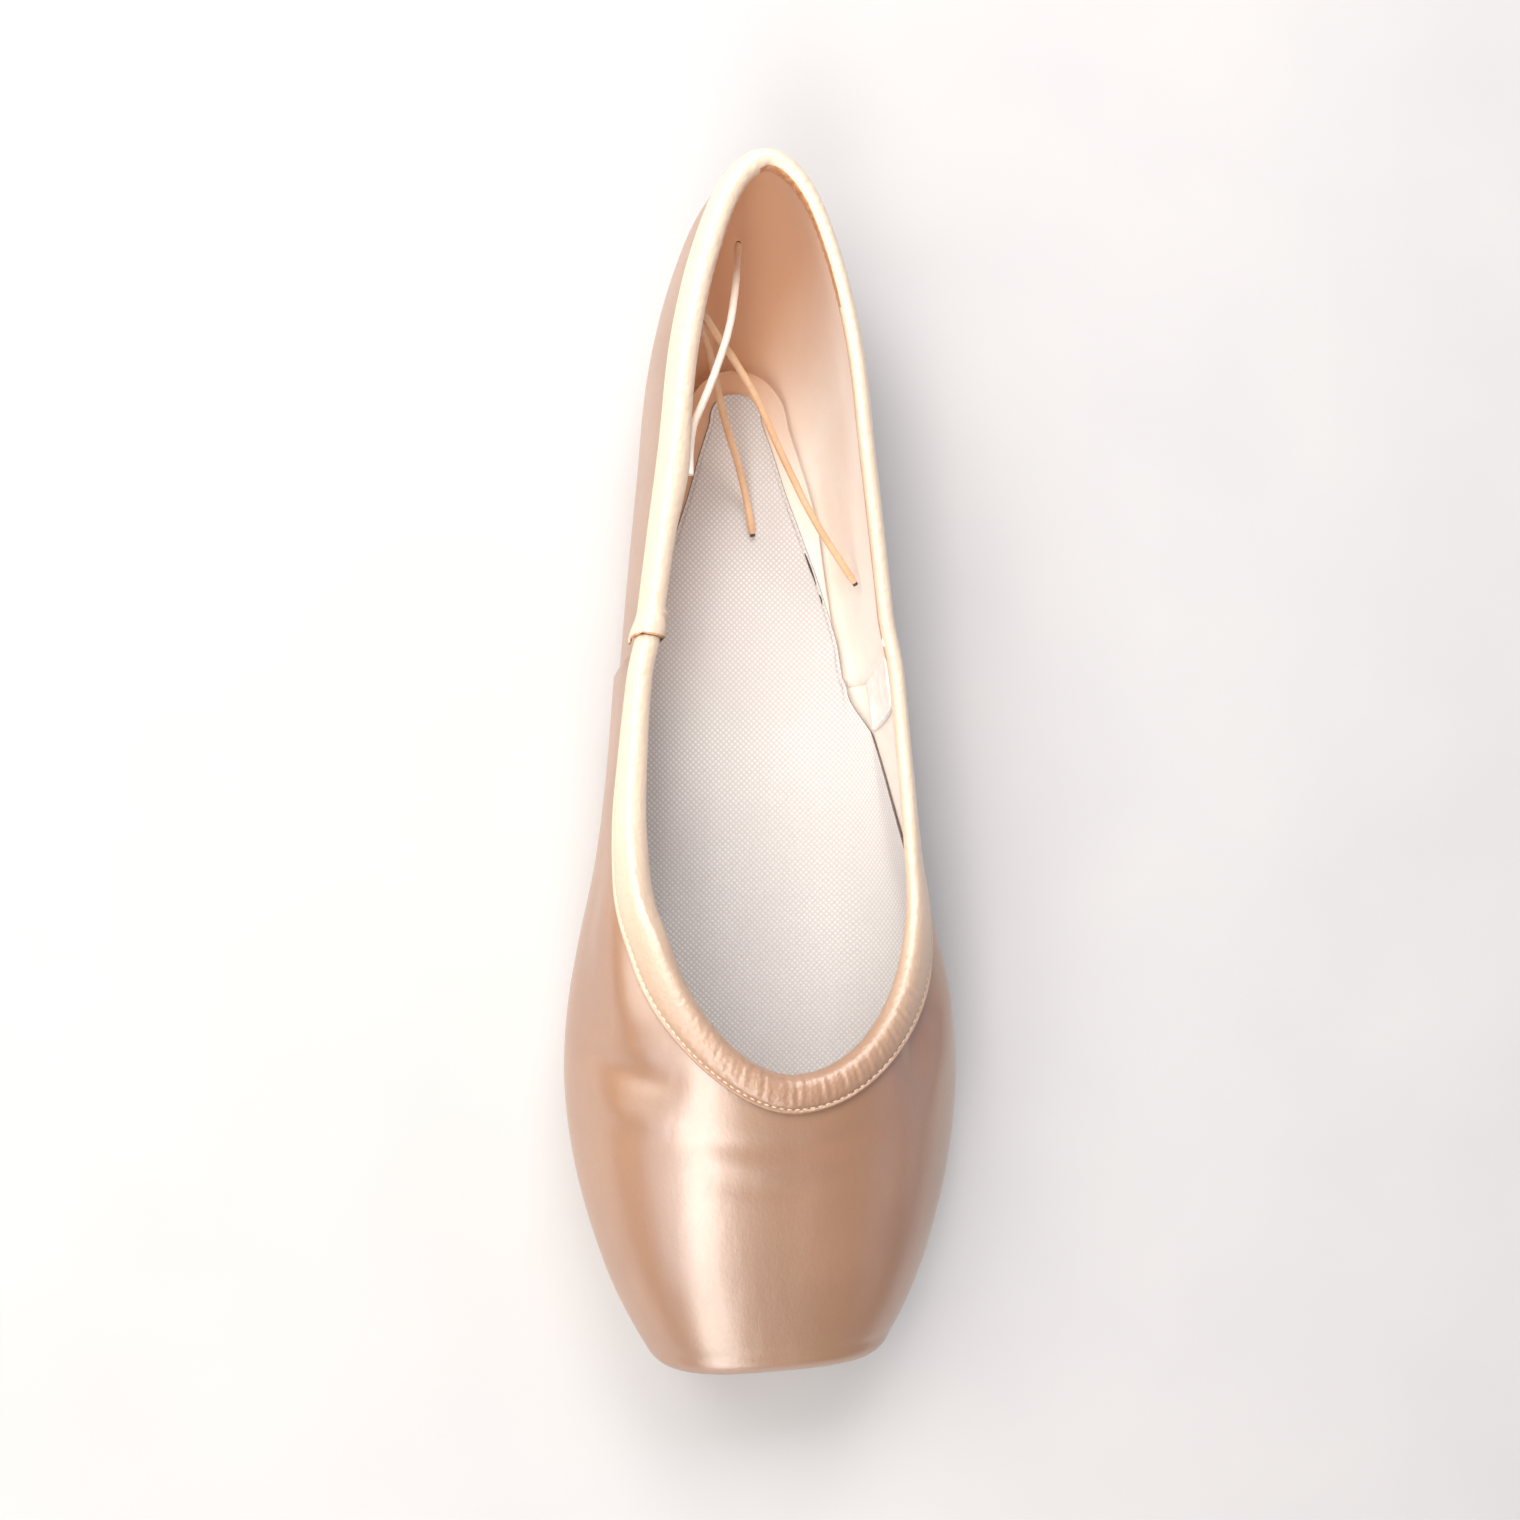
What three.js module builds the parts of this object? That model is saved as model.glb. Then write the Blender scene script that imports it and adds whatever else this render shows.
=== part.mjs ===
// A pointe shoe, empty and standing on its outsole, in millimetres. +Z is up and the toe points along -Y.
// A station is the distance from the toe platform back along the shoe, so a station t lies at y = t - LENGTH / 2.
import * as THREE from "three";

// Driving dimensions.
const LENGTH = 238;
const GAP = 0.3;
const SOLE_THICKNESS = 2.2;
const INSOLE_THICKNESS = 1.6;
const INSOLE_CLEARANCE = 1.2;
const INSOLE_CUP = 1.8;
const ARCH_RISE = 1.6;
const TOE_SPRING = 3.4;
const PLATFORM_EDGE = 2.8;
const TAPE_THICKNESS = 0.6;
const CORD_DIAMETER = 1.5;

// The wall is stiffened in the toe box and single behind it.
const WALL = { box: 2.8, quarter: 1.5, boxEnd: 40, quarterStart: 88 };

// The vamp stands proud of the quarter at a side seam, which leans back as it rises.
const SEAM = { station: 139.2, height: 18, slant: 0.17, step: 1.1, half: 0.45 };

// The last: half width at the bulge, height of the bulge, height of the crown that each section closes to,
// and half width of the flat underside. Behind the throat the collar cuts the crown off.
const LAST = table(["station", "half", "bulge", "crown", "flat"], [
  [-10, 15.5, 18.0, 28.0, 7.0],
  [0, 22.8, 18.0, 32.0, 11.0],
  [5, 25.9, 18.0, 34.4, 12.5],
  [13, 30.0, 18.0, 37.6, 14.5],
  [21, 33.2, 18.0, 40.3, 17.0],
  [33, 36.8, 18.0, 43.2, 20.5],
  [45, 39.2, 18.0, 45.6, 23.0],
  [58, 40.2, 18.0, 47.6, 24.5],
  [71, 39.3, 17.8, 49.0, 24.5],
  [84, 36.8, 17.4, 50.2, 24.0],
  [100, 33.1, 17.0, 53.4, 22.0],
  [116, 30.7, 16.6, 59.5, 20.0],
  [132, 28.9, 16.3, 64.5, 18.0],
  [150, 27.0, 16.2, 66.5, 16.5],
  [168, 25.1, 16.6, 66.5, 15.5],
  [186, 23.2, 17.6, 66.0, 15.0],
  [200, 22.2, 18.8, 65.5, 13.5],
  [212, 21.2, 19.6, 65.5, 12.0],
  [224, 20.5, 20.0, 65.5, 11.0],
  [238, 21.0, 20.0, 65.5, 10.0],
]);
const CROWN_POWER = { toe: 3.1, rear: 2.4, end: 55 };
const LOWER_POWER = 2.3;
const HEEL_ROUND_STATION = 186;
const HEEL_ROUND_POWER = 2.3;

// How far the back of the heel lies in front of the shoe's rearmost point, by height.
const HEEL_BACK = table(["height", "inset"], [
  [0, 27.0],
  [2.5, 24.5],
  [5, 17.0],
  [8, 11.5],
  [12, 7.0],
  [18, 3.0],
  [24, 0.8],
  [30, 0.0],
  [40, 1.2],
  [50, 3.6],
  [60, 6.5],
]);

// The rim of the upper: a half oval in plan round the throat, fuller on the right, then a height along each side.
const THROAT = { station: 59.3, centre: 100, half: 27.2, shift: 0.8, leftPower: 1.75, rightPower: 2.06 };
const RIM = table(["station", "height"], [
  [76, 44.4],
  [84, 41.4],
  [92, 39.0],
  [100, 37.6],
  [110, 37.0],
  [122, 37.3],
  [136, 38.5],
  [150, 40.7],
  [164, 43.3],
  [178, 45.9],
  [192, 47.7],
  [206, 48.7],
  [222, 49.1],
  [238, 49.1],
]);

// Half widths of the outsole, and of the insole that lies on the turned-in margin.
const OUTSOLE = outline(30, 207, [
  [36, 17.5],
  [46, 23.0],
  [60, 25.0],
  [74, 24.2],
  [92, 20.5],
  [112, 16.8],
  [134, 15.0],
  [156, 15.6],
  [176, 16.6],
  [192, 15.6],
  [202, 12.0],
]);
const INSOLE = outline(14, 204, [
  [20, 17.0],
  [28, 24.0],
  [38, 29.0],
  [50, 32.4],
  [64, 32.8],
  [80, 32.4],
  [96, 31.2],
  [116, 27.6],
  [138, 23.2],
  [158, 19.6],
  [176, 16.0],
  [192, 11.2],
]);
const MARGIN_OVERLAP = 7;

// The casing that binds the rim: its section as depth below the rim, and distance off the wall's outer face
// or, on the inside, off its inner face.
const CASING_OUTSIDE = table(["down", "off"], [
  [8.0, 0.8],
  [6.9, 1.0],
  [4.6, 1.4],
  [2.0, 1.5],
  [0.2, 1.3],
  [-0.9, 0.5],
]);
const CASING_INSIDE = table(["down", "off"], [
  [-0.9, 0.4],
  [0.2, 1.1],
  [2.0, 1.3],
  [4.4, 1.1],
  [6.4, 0.7],
]);
const CASING_TOP = 1.25;
const CASING_DEPTH = { throat: 0.7, sides: 0.84 };
const CASING_JOINT_STATION = 143;
const CASING_DEEPENS = { from: 60, to: 84 };
const CASING_MIDDLE = 3.4;

// The tapes inside the side seams: their width, the height they start at and how far below the rim they end.
const SIDE_TAPE = { width: 11, low: 8.6, fromRim: 7.0, aheadOfSeam: 0.9 };

// The loose ends of the drawstring, from the casing to their tips.
const CORDS = {
  drawstring_end_rear: table(["x", "station", "height"], [
    [-15.9, 174.5, 43.7],
    [-15.8, 177.8, 43.4],
    [-15.5, 180.8, 43.1],
    [-14.7, 184.5, 42.7],
    [-12.9, 188.5, 42.3],
    [-10.9, 193.1, 41.9],
    [-9.1, 197.7, 41.4],
    [-7.5, 202.2, 40.6],
    [-6.4, 205.9, 39.2],
    [-5.5, 209.3, 37.0],
    [-4.6, 212.7, 34.2],
    [-3.7, 216.2, 31.0],
    [-2.9, 219.8, 27.6],
    [-2.1, 223.2, 24.4],
    [-1.3, 226.5, 21.5],
  ]),
  drawstring_end_middle: table(["x", "station", "height"], [
    [-13.7, 203.4, 43.4],
    [-12.9, 203.0, 42.2],
    [-12.0, 202.6, 39.5],
    [-10.6, 201.5, 36.0],
    [-9.4, 199.7, 32.8],
    [-8.4, 197.4, 30.1],
    [-7.4, 195.0, 27.4],
    [-6.2, 192.5, 24.3],
    [-4.9, 190.0, 21.2],
    [-3.5, 187.4, 18.0],
    [-1.9, 184.7, 14.9],
    [-0.4, 181.6, 12.0],
    [0.9, 178.0, 9.6],
    [2.1, 173.7, 7.8],
    [3.0, 168.5, 7.1],
  ]),
  drawstring_end_side: table(["x", "station", "height"], [
    [-13.1, 205.3, 43.9],
    [-12.1, 204.9, 43.0],
    [-10.8, 204.2, 40.4],
    [-8.7, 202.7, 37.2],
    [-6.3, 200.6, 34.8],
    [-4.0, 197.9, 33.1],
    [-1.7, 194.9, 31.5],
    [0.7, 191.3, 29.8],
    [3.1, 187.0, 28.0],
    [5.6, 182.4, 26.2],
    [8.3, 177.6, 24.6],
    [11.0, 172.9, 23.1],
    [14.1, 168.0, 21.8],
    [17.8, 162.8, 20.5],
    [22.2, 156.6, 19.3],
  ]),
};

// A table of rows with named columns.
function table(columns, rows) {
  return rows.map((row) => Object.fromEntries(row.map((value, i) => [columns[i], value])));
}

// An outline that is symmetrical about the shoe's axis, given by half widths between two rounded ends.
function outline(front, back, rows) {
  return { front, back, rows: table(["station", "half"], rows) };
}

// The value of a table's column at x: a smooth curve through its rows, straight beyond them.
function along(rows, x, column, key = "station") {
  const last = rows.length - 1;
  let i = 0;
  while (i < last - 1 && rows[i + 1][key] < x) i++;
  const slope = (k) => {
    const [p, q] = [rows[Math.max(k - 1, 0)], rows[Math.min(k + 1, last)]];
    return (q[column] - p[column]) / (q[key] - p[key]);
  };
  const [a, b] = [rows[i], rows[i + 1]];
  if (x <= a[key]) return a[column] + slope(i) * (x - a[key]);
  if (x >= b[key]) return b[column] + slope(i + 1) * (x - b[key]);
  const span = b[key] - a[key];
  const u = (x - a[key]) / span;
  const v = 1 - u;
  return a[column] * (1 + 2 * u) * v * v + b[column] * u * u * (1 + 2 * v) + span * u * v * (slope(i) * v - slope(i + 1) * u);
}

function smoothstep(low, high, x) {
  const u = Math.min(Math.max((x - low) / (high - low), 0), 1);
  return u * u * (3 - 2 * u);
}

// The value between low and high where a rising test turns from false to true.
function bisect(low, high, isPast) {
  for (let i = 0; i < 24; i++) {
    const middle = (low + high) / 2;
    if (isPast(middle)) high = middle;
    else low = middle;
  }
  return (low + high) / 2;
}

// Height of the outsole's underside: flat at the ball and the heel, raised at the arch and the toe.
function ground(t) {
  const arch = smoothstep(88, 124, t) * (1 - smoothstep(132, 168, t));
  return ARCH_RISE * arch + TOE_SPRING * (1 - smoothstep(-6, 44, t));
}

const underside = (t) => ground(t) + SOLE_THICKNESS + GAP;
const seamStation = (z) => SEAM.station + SEAM.slant * (z - SEAM.height);

function wallAt(t) {
  return WALL.box + (WALL.quarter - WALL.box) * smoothstep(WALL.boxEnd, WALL.quarterStart, t);
}

const crownPower = (s) => CROWN_POWER.toe + (CROWN_POWER.rear - CROWN_POWER.toe) * smoothstep(0, CROWN_POWER.end, s);

// How far outside the last a point lies, in millimetres: below 0 inside.
function outside(x, t, z) {
  const inset = along(HEEL_BACK, Math.max(z, 0), "inset", "height");
  const s = Math.max(-10, t + inset * smoothstep(120, LENGTH - inset, t));
  if (s >= LENGTH) return 1 + s - LENGTH;
  const turn = Math.max(0, (s - HEEL_ROUND_STATION) / (LENGTH - HEEL_ROUND_STATION));
  const round = Math.sqrt(1 - turn ** HEEL_ROUND_POWER);
  const step = SEAM.step * smoothstep(-SEAM.half, SEAM.half, t - seamStation(z));
  const half = Math.max(0.01, along(LAST, s, "half") * round - step);
  const bulge = along(LAST, s, "bulge");
  const above = z >= bulge;
  const flat = above ? 0 : Math.min(along(LAST, s, "flat") * round, half - 0.01);
  const height = above ? along(LAST, s, "crown") - bulge : bulge - underside(t);
  const power = above ? crownPower(s) : LOWER_POWER;
  const riser = above ? 2 : LOWER_POWER;
  const side = Math.max(0, (Math.abs(x) - flat) / (half - flat));
  const rise = Math.abs(z - bulge) / height;
  const reach = Math.sqrt(side ** power + rise ** riser);
  const acrossSlope = (power * side ** (power - 1)) / (half - flat);
  const upSlope = (riser * rise ** (riser - 1)) / height;
  const slope = Math.hypot(acrossSlope, upSlope) / (2 * reach + 1e-9);
  const body = (reach - 1) / Math.max(slope, 1 / (half + 1));
  const front = -t;
  const blend = Math.max(PLATFORM_EDGE - Math.abs(body - front), 0);
  return Math.max(body, front) + blend ** 2 / (4 * PLATFORM_EDGE);
}

// Half width of an outline at a station, closing at both ends.
function halfWidth(plan, t) {
  if (t <= plan.front || t >= plan.back) return 0;
  const nose = plan.rows[0];
  const tail = plan.rows[plan.rows.length - 1];
  if (t < nose.station) {
    const u = (nose.station - t) / (nose.station - plan.front);
    return nose.half * Math.sqrt(1 - u * u);
  }
  if (t > tail.station) {
    const u = (t - tail.station) / (plan.back - tail.station);
    return tail.half * Math.sqrt(1 - u * u);
  }
  return along(plan.rows, t, "half");
}

// The opening under the upper, which the outsole closes from below and the insole from above.
const margin = {
  front: OUTSOLE.front + MARGIN_OVERLAP,
  back: OUTSOLE.back - MARGIN_OVERLAP,
  rows: OUTSOLE.rows.slice(1, -1).map((row) => ({ ...row, half: row.half - MARGIN_OVERLAP })),
};

// The columns of the upper: upright planes that fan round the toe, cross the sides and fan round the heel.
const TOE_FAN = THROAT.centre;
const HEEL_FAN = 188;
const FAN_ANGLES = [0, 4, 7.5, 10.2, 11.8, 13, 14.5, 18, 23, 29, 36, 44, 53, 62, 72, 82];
const SIDE_STATIONS = [100, 110, 120, 129, 135, SEAM.station - 0.5, SEAM.station + 0.5, 144, 152, 162, 172, 181];
const HEEL_ANGLES = [90, 74, 59, 46, 35, 26, 18, 11.5, 5.5, 0];
const BULGE_HEIGHT = 18;
const MARGIN_HEIGHT = 3;
const SEAM_LEAN_REACH = 26;

const fanned = (station, degrees, way) => {
  const angle = (degrees * Math.PI) / 180;
  return { station, dx: Math.sin(angle), dt: way * Math.cos(angle) };
};
const acrossSide = (station) => ({ station, dx: 1, dt: 0 });
const mirrored = (column) => ({ ...column, dx: -column.dx });

function columns() {
  const right = [
    ...FAN_ANGLES.map((angle) => fanned(TOE_FAN, angle, -1)),
    ...SIDE_STATIONS.map(acrossSide),
    ...HEEL_ANGLES.map((angle) => fanned(HEEL_FAN, angle, 1)),
  ];
  return [...right, ...right.slice(1, -1).reverse().map(mirrored)];
}

// A point of a column at radius r and height z. Columns near the side seam lean with it.
function place(column, r, z) {
  const near = column.dt === 0 ? Math.max(0, 1 - Math.abs(column.station - SEAM.station) / SEAM_LEAN_REACH) : 0;
  return {
    x: column.dx * r,
    t: column.station + column.dt * r + SEAM.slant * near * (z - SEAM.height),
    z,
  };
}

// A column with the radius of the bottom opening's edge, and the pole that its rays leave from.
function withPole(column) {
  const edge = bisect(0, 120, (r) => {
    const p = place(column, r, MARGIN_HEIGHT);
    return Math.abs(p.x) > halfWidth(margin, p.t) || p.t < margin.front || p.t > margin.back;
  });
  const bulge = bisect(0, 140, (r) => {
    const p = place(column, r, BULGE_HEIGHT);
    return outside(p.x, p.t, p.z) > 0;
  });
  return { ...column, edge, bulge, pole: { r: (edge + bulge) / 2, z: BULGE_HEIGHT } };
}

// The surface point of a column on the ray at an angle above the horizontal.
function onSurface(column, angle) {
  const at = (d) => {
    const r = column.pole.r + d * Math.cos(angle);
    return { r, ...place(column, r, column.pole.z + d * Math.sin(angle)) };
  };
  return at(bisect(0, 70, (d) => {
    const p = at(d);
    return outside(p.x, p.t, p.z) > 0;
  }));
}

// The furthest that a ray turns: over the top of the toe box, up past the rim, and down towards the insole.
const MOST_OVER = 0.9 * Math.PI;
const MOST_UP = 0.55 * Math.PI;
const MOST_DOWN = 1.4;
const THROAT_BLEND = { from: 82, to: 112 };

// The angle of the rim on a column: by plan round the throat, by height along the sides and the heel.
function rimAngle(column) {
  const inThroat = (p) => {
    const v = Math.max(0, (THROAT.centre - p.t) / (THROAT.centre - THROAT.station));
    const side = p.x - THROAT.shift;
    const power = side < 0 ? THROAT.leftPower : THROAT.rightPower;
    return (Math.abs(side) / THROAT.half) ** power + v ** power < 1;
  };
  const rear = smoothstep(THROAT_BLEND.from, THROAT_BLEND.to, column.station + column.dt * column.bulge * 0.8);
  const byPlan = rear < 1 ? bisect(0, MOST_OVER, (a) => inThroat(onSurface(column, a))) : 0;
  const byHeight = rear > 0 ? bisect(0, MOST_UP, (a) => aboveRim(onSurface(column, a))) : 0;
  return byPlan * (1 - rear) + byHeight * rear;
}

const aboveRim = (p) => p.z > along(RIM, p.t, "height");

// The angle of the bottom opening's edge on a column.
const EDGE_START = 0.3;

function edgeAngle(column) {
  return -bisect(EDGE_START, MOST_OVER, (a) => onSurface(column, -a).r < column.edge);
}

// The angles at which a column's surface lies at given distances from a first angle, towards a second.
function anglesAt(column, first, second, distancesOf) {
  const count = 20;
  const steps = Array.from({ length: count + 1 }, (_, i) => first + ((second - first) * i) / count);
  const points = steps.map((angle) => onSurface(column, angle));
  const lengths = [0];
  for (let i = 1; i <= count; i++)
    lengths.push(lengths[i - 1] + Math.hypot(points[i].r - points[i - 1].r, points[i].z - points[i - 1].z));
  return distancesOf(lengths[count]).map((want) => {
    let i = 1;
    while (i < count && lengths[i] < want) i++;
    const u = (want - lengths[i - 1]) / (lengths[i] - lengths[i - 1]);
    return steps[i - 1] + (steps[i] - steps[i - 1]) * u;
  });
}

// The surface points of a column at distances below the rim.
const RIM_REACH = 0.75;

function belowRim(column, distances) {
  const rim = rimAngle(column);
  return anglesAt(column, rim, rim - RIM_REACH, () => distances).map((angle) => onSurface(column, angle));
}

const evenly = (count) => (length) => Array.from({ length: count }, (_, i) => (length * i) / count);

// The turns of a section are its shoulder and its feather edge. On the platform they follow its round outline,
// and beside it they open out to their own heights over a span of fan angles.
const TURN_HEIGHT = { shoulder: 31, feather: 7.5 };
const PLATFORM_SIDE = { angle: 12.4, span: 16, start: 0.35 };
const PLATFORM_LIFT = 0.5;

function turnAngle(column, turn, limit) {
  const way = Math.sign(limit);
  const onPlatform = onSurface(column, 0).t < PLATFORM_LIFT;
  if (onPlatform) return way * bisect(0, Math.abs(limit), (a) => onSurface(column, way * a).t > PLATFORM_LIFT);
  const inToeFan = column.station === TOE_FAN && column.dt < 0;
  const fanAngle = (Math.atan2(Math.abs(column.dx), -column.dt) * 180) / Math.PI;
  const away = inToeFan ? Math.min(1, Math.max(0, (fanAngle - PLATFORM_SIDE.angle) / PLATFORM_SIDE.span)) : 1;
  const share = PLATFORM_SIDE.start + (1 - PLATFORM_SIDE.start) * away ** 0.7;
  const rise = Math.abs(TURN_HEIGHT[turn] - BULGE_HEIGHT) * share;
  return way * bisect(0, Math.abs(limit), (a) => Math.abs(onSurface(column, way * a).z - BULGE_HEIGHT) > rise);
}

// Angles down a column from the rim to the edge of the bottom opening, in pairs at the turns of the section.
const ROWS = { crown: 5, side: 5, under: 4 };
const TURN_WIDTH = 1.9;

function profile(column) {
  const rim = rimAngle(column);
  const end = edgeAngle(column);
  const shoulder = turnAngle(column, "shoulder", rim);
  const feather = turnAngle(column, "feather", end);
  const beside = (angle, toward) =>
    anglesAt(column, angle, toward, (length) => [Math.min(TURN_WIDTH, 0.3 * length)])[0];
  const crownEnd = beside(shoulder, rim);
  const sideStart = beside(shoulder, feather);
  const sideEnd = beside(feather, shoulder);
  const underStart = beside(feather, end);
  return [
    ...anglesAt(column, rim, crownEnd, evenly(ROWS.crown)),
    crownEnd,
    ...anglesAt(column, sideStart, sideEnd, evenly(ROWS.side)),
    sideEnd,
    ...anglesAt(column, underStart, end, evenly(ROWS.under)),
    end,
  ];
}

const toVector = (p) => new THREE.Vector3(p.x, p.t - LENGTH / 2, p.z);

// The outward normal of the last's surface.
function normalAt(p) {
  const small = 0.02;
  const change = (x, t, z) => outside(p.x + x, p.t + t, p.z + z) - outside(p.x - x, p.t - t, p.z - z);
  return new THREE.Vector3(change(small, 0, 0), change(0, small, 0), change(0, 0, small)).normalize();
}

// Rings of points joined side by side into one closed skin; each ring has the same number of points.
function skin(rings, { closed }) {
  const count = rings[0].length;
  const points = rings.flat();
  const positions = points.flatMap((p) => [p.x, p.y, p.z]);
  const faces = [];
  const turns = closed ? rings.length : rings.length - 1;
  for (let j = 0; j < turns; j++) {
    const [here, next] = [j * count, ((j + 1) % rings.length) * count];
    for (let i = 0; i < count; i++) {
      const k = (i + 1) % count;
      const [a, b, c, d] = [here + i, here + k, next + k, next + i];
      const crossed = points[a].distanceTo(points[c]) < points[b].distanceTo(points[d]);
      faces.push(...(crossed ? [a, b, c, a, c, d] : [a, b, d, b, c, d]));
    }
  }
  if (!closed) {
    faces.push(...cap(rings[0], 0, true));
    faces.push(...cap(rings[rings.length - 1], (rings.length - 1) * count, false));
  }
  const geometry = new THREE.BufferGeometry();
  geometry.setAttribute("position", new THREE.Float32BufferAttribute(positions, 3));
  geometry.setIndex(faces);
  if (volumeOf(geometry) < 0) geometry.setIndex(flipped(faces));
  geometry.computeVertexNormals();
  return geometry;
}

// Triangles that close an end ring, which lies near one plane.
function cap(ring, offset, reversed) {
  const centre = ring.reduce((sum, p) => sum.add(p), new THREE.Vector3()).divideScalar(ring.length);
  const normal = new THREE.Vector3();
  ring.forEach((p, i) => {
    const q = ring[(i + 1) % ring.length];
    normal.add(p.clone().sub(centre).cross(q.clone().sub(centre)));
  });
  const u = ring[0].clone().sub(centre).normalize();
  const v = normal.normalize().clone().cross(u);
  const flat = ring.map((p) => new THREE.Vector2(p.clone().sub(centre).dot(u), p.clone().sub(centre).dot(v)));
  return THREE.ShapeUtils.triangulateShape(flat, []).flatMap(([a, b, c]) =>
    reversed ? [offset + a, offset + c, offset + b] : [offset + a, offset + b, offset + c],
  );
}

const flipped = (faces) => faces.map((_, i) => faces[i % 3 === 1 ? i + 1 : i % 3 === 2 ? i - 1 : i]);

function volumeOf(geometry) {
  const p = geometry.getAttribute("position");
  const index = geometry.getIndex().array;
  const at = (i) => new THREE.Vector3().fromBufferAttribute(p, index[i]);
  let sum = 0;
  for (let i = 0; i < index.length; i += 3) sum += at(i).dot(at(i + 1).cross(at(i + 2)));
  return sum / 6;
}

const COLUMNS = columns().map(withPole);

// The upper: an outer skin and an inner skin one wall apart, joined at the rim and at the bottom opening.
function upperGeometry() {
  const rings = COLUMNS.map((column) => {
    const points = profile(column).map((angle) => onSurface(column, angle));
    const outer = points.map(toVector);
    const inner = points.map((p) => toVector(p).addScaledVector(normalAt(p), -wallAt(p.t)));
    return [...outer, ...inner.reverse()];
  });
  return skin(rings, { closed: true });
}

// The casing: one folded band round the rim, whose two ends meet on the left side.
function casingGeometry() {
  const joint = COLUMNS.findLastIndex((column) => column.dt === 0 && column.station > CASING_JOINT_STATION);
  const end = (way) => withPole(mirrored(acrossSide(CASING_JOINT_STATION + (way * GAP) / 2)));
  const band = [end(-1), ...COLUMNS.slice(joint + 1), ...COLUMNS.slice(0, joint + 1), end(1)];
  return skin(band.map(casingRing), { closed: false });
}

function casingRing(column) {
  const rim = rimAngle(column);
  const rear = smoothstep(CASING_DEEPENS.from, CASING_DEEPENS.to, onSurface(column, rim).t);
  const scale = CASING_DEPTH.throat + (CASING_DEPTH.sides - CASING_DEPTH.throat) * rear;
  const depths = [...CASING_OUTSIDE, ...CASING_INSIDE].map((row) => scale * Math.max(0, row.down));
  const points = belowRim(column, [...depths, CASING_MIDDLE, 1, 0]);
  const [middle, below, top] = points.slice(-3);
  const up = toVector(top).sub(toVector(below)).normalize();
  const at = (p, off, rise) => toVector(p).addScaledVector(normalAt(p), off).addScaledVector(up, rise);
  const wall = wallAt(top.t);
  const inside = points.slice(CASING_OUTSIDE.length);
  const [low, deep] = [points[0], inside[CASING_INSIDE.length - 1]];
  return [
    ...CASING_OUTSIDE.map((row, i) => at(points[i], row.off, Math.max(0, -row.down))),
    at(top, -wall / 2, CASING_TOP),
    ...CASING_INSIDE.map((row, i) => at(inside[i], -wall - row.off, Math.max(0, -row.down))),
    at(deep, -wall - GAP, 0),
    at(middle, -wall - GAP, 0),
    at(top, -wall - GAP, GAP),
    at(top, GAP, GAP),
    at(middle, GAP, 0),
    at(low, GAP, 0),
  ];
}

// The half width at which the upper's inner face stands at a station and height, less a clearance.
function roomInside(t, z) {
  return bisect(0, 60, (x) => outside(x, t, z) > -wallAt(t)) - INSOLE_CLEARANCE;
}

// Stations between two ends, close together near the ends.
function stationsOf(plan, count) {
  const middle = (plan.front + plan.back) / 2;
  const reach = (plan.back - plan.front) / 2;
  return Array.from({ length: count }, (_, i) => middle - reach * Math.cos((Math.PI * (i + 0.5)) / count));
}

function outsoleGeometry() {
  const bevel = 0.9;
  const rings = stationsOf(OUTSOLE, 40).map((t) => {
    const half = halfWidth(OUTSOLE, t);
    const foot = Math.max(0.2, half - bevel);
    const low = ground(t);
    const top = low + SOLE_THICKNESS;
    const at = (x, z) => toVector({ x, t, z });
    return [at(half, top), at(-half, top), at(-half, low + bevel), at(-foot, low), at(foot, low), at(half, low + bevel)];
  });
  return skin(rings, { closed: false });
}

// The insole is flat across its middle and cupped up at its edges.
function insoleGeometry() {
  const rings = stationsOf(INSOLE, 40).map((t) => {
    const low = underside(t) + wallAt(t) + GAP;
    const edge = Math.min(halfWidth(INSOLE, t), roomInside(t, low + INSOLE_CUP * 0.6));
    const at = (u, lift) => toVector({ x: u * edge, t, z: low + lift + INSOLE_CUP * Math.abs(u) ** 5 });
    const across = [1, 0.88, 0.7, 0, -0.7, -0.88, -1];
    return [...across.map((u) => at(u, INSOLE_THICKNESS)), ...across.reverse().map((u) => at(u, 0))];
  });
  return skin(rings, { closed: false });
}

// A tape that lies on the upper's inner face, as columns of points from below the casing down to the insole.
function tapeGeometry(lines) {
  const rings = lines.map(({ column, low, fromRim }) => {
    const rim = rimAngle(column);
    const first = anglesAt(column, rim, rim - RIM_REACH, () => [fromRim])[0];
    const last = -bisect(0, MOST_DOWN, (a) => onSurface(column, -a).z < low);
    const angles = [...anglesAt(column, first, last, evenly(8)), last];
    const points = angles.map((angle) => onSurface(column, angle));
    const near = points.map((p) => toVector(p).addScaledVector(normalAt(p), -wallAt(p.t) - GAP));
    const far = points.map((p) => toVector(p).addScaledVector(normalAt(p), -wallAt(p.t) - GAP - TAPE_THICKNESS));
    return [...near, ...far.reverse()];
  });
  return skin(rings, { closed: false });
}

function sideTape(way) {
  const middle = SEAM.station - SIDE_TAPE.aheadOfSeam - SIDE_TAPE.width / 2;
  const lines = [-0.5, -0.25, 0, 0.25, 0.5].map((u) => {
    const column = acrossSide(middle + u * SIDE_TAPE.width);
    return { column: withPole(way > 0 ? column : mirrored(column)), ...SIDE_TAPE };
  });
  return tapeGeometry(lines);
}

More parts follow.
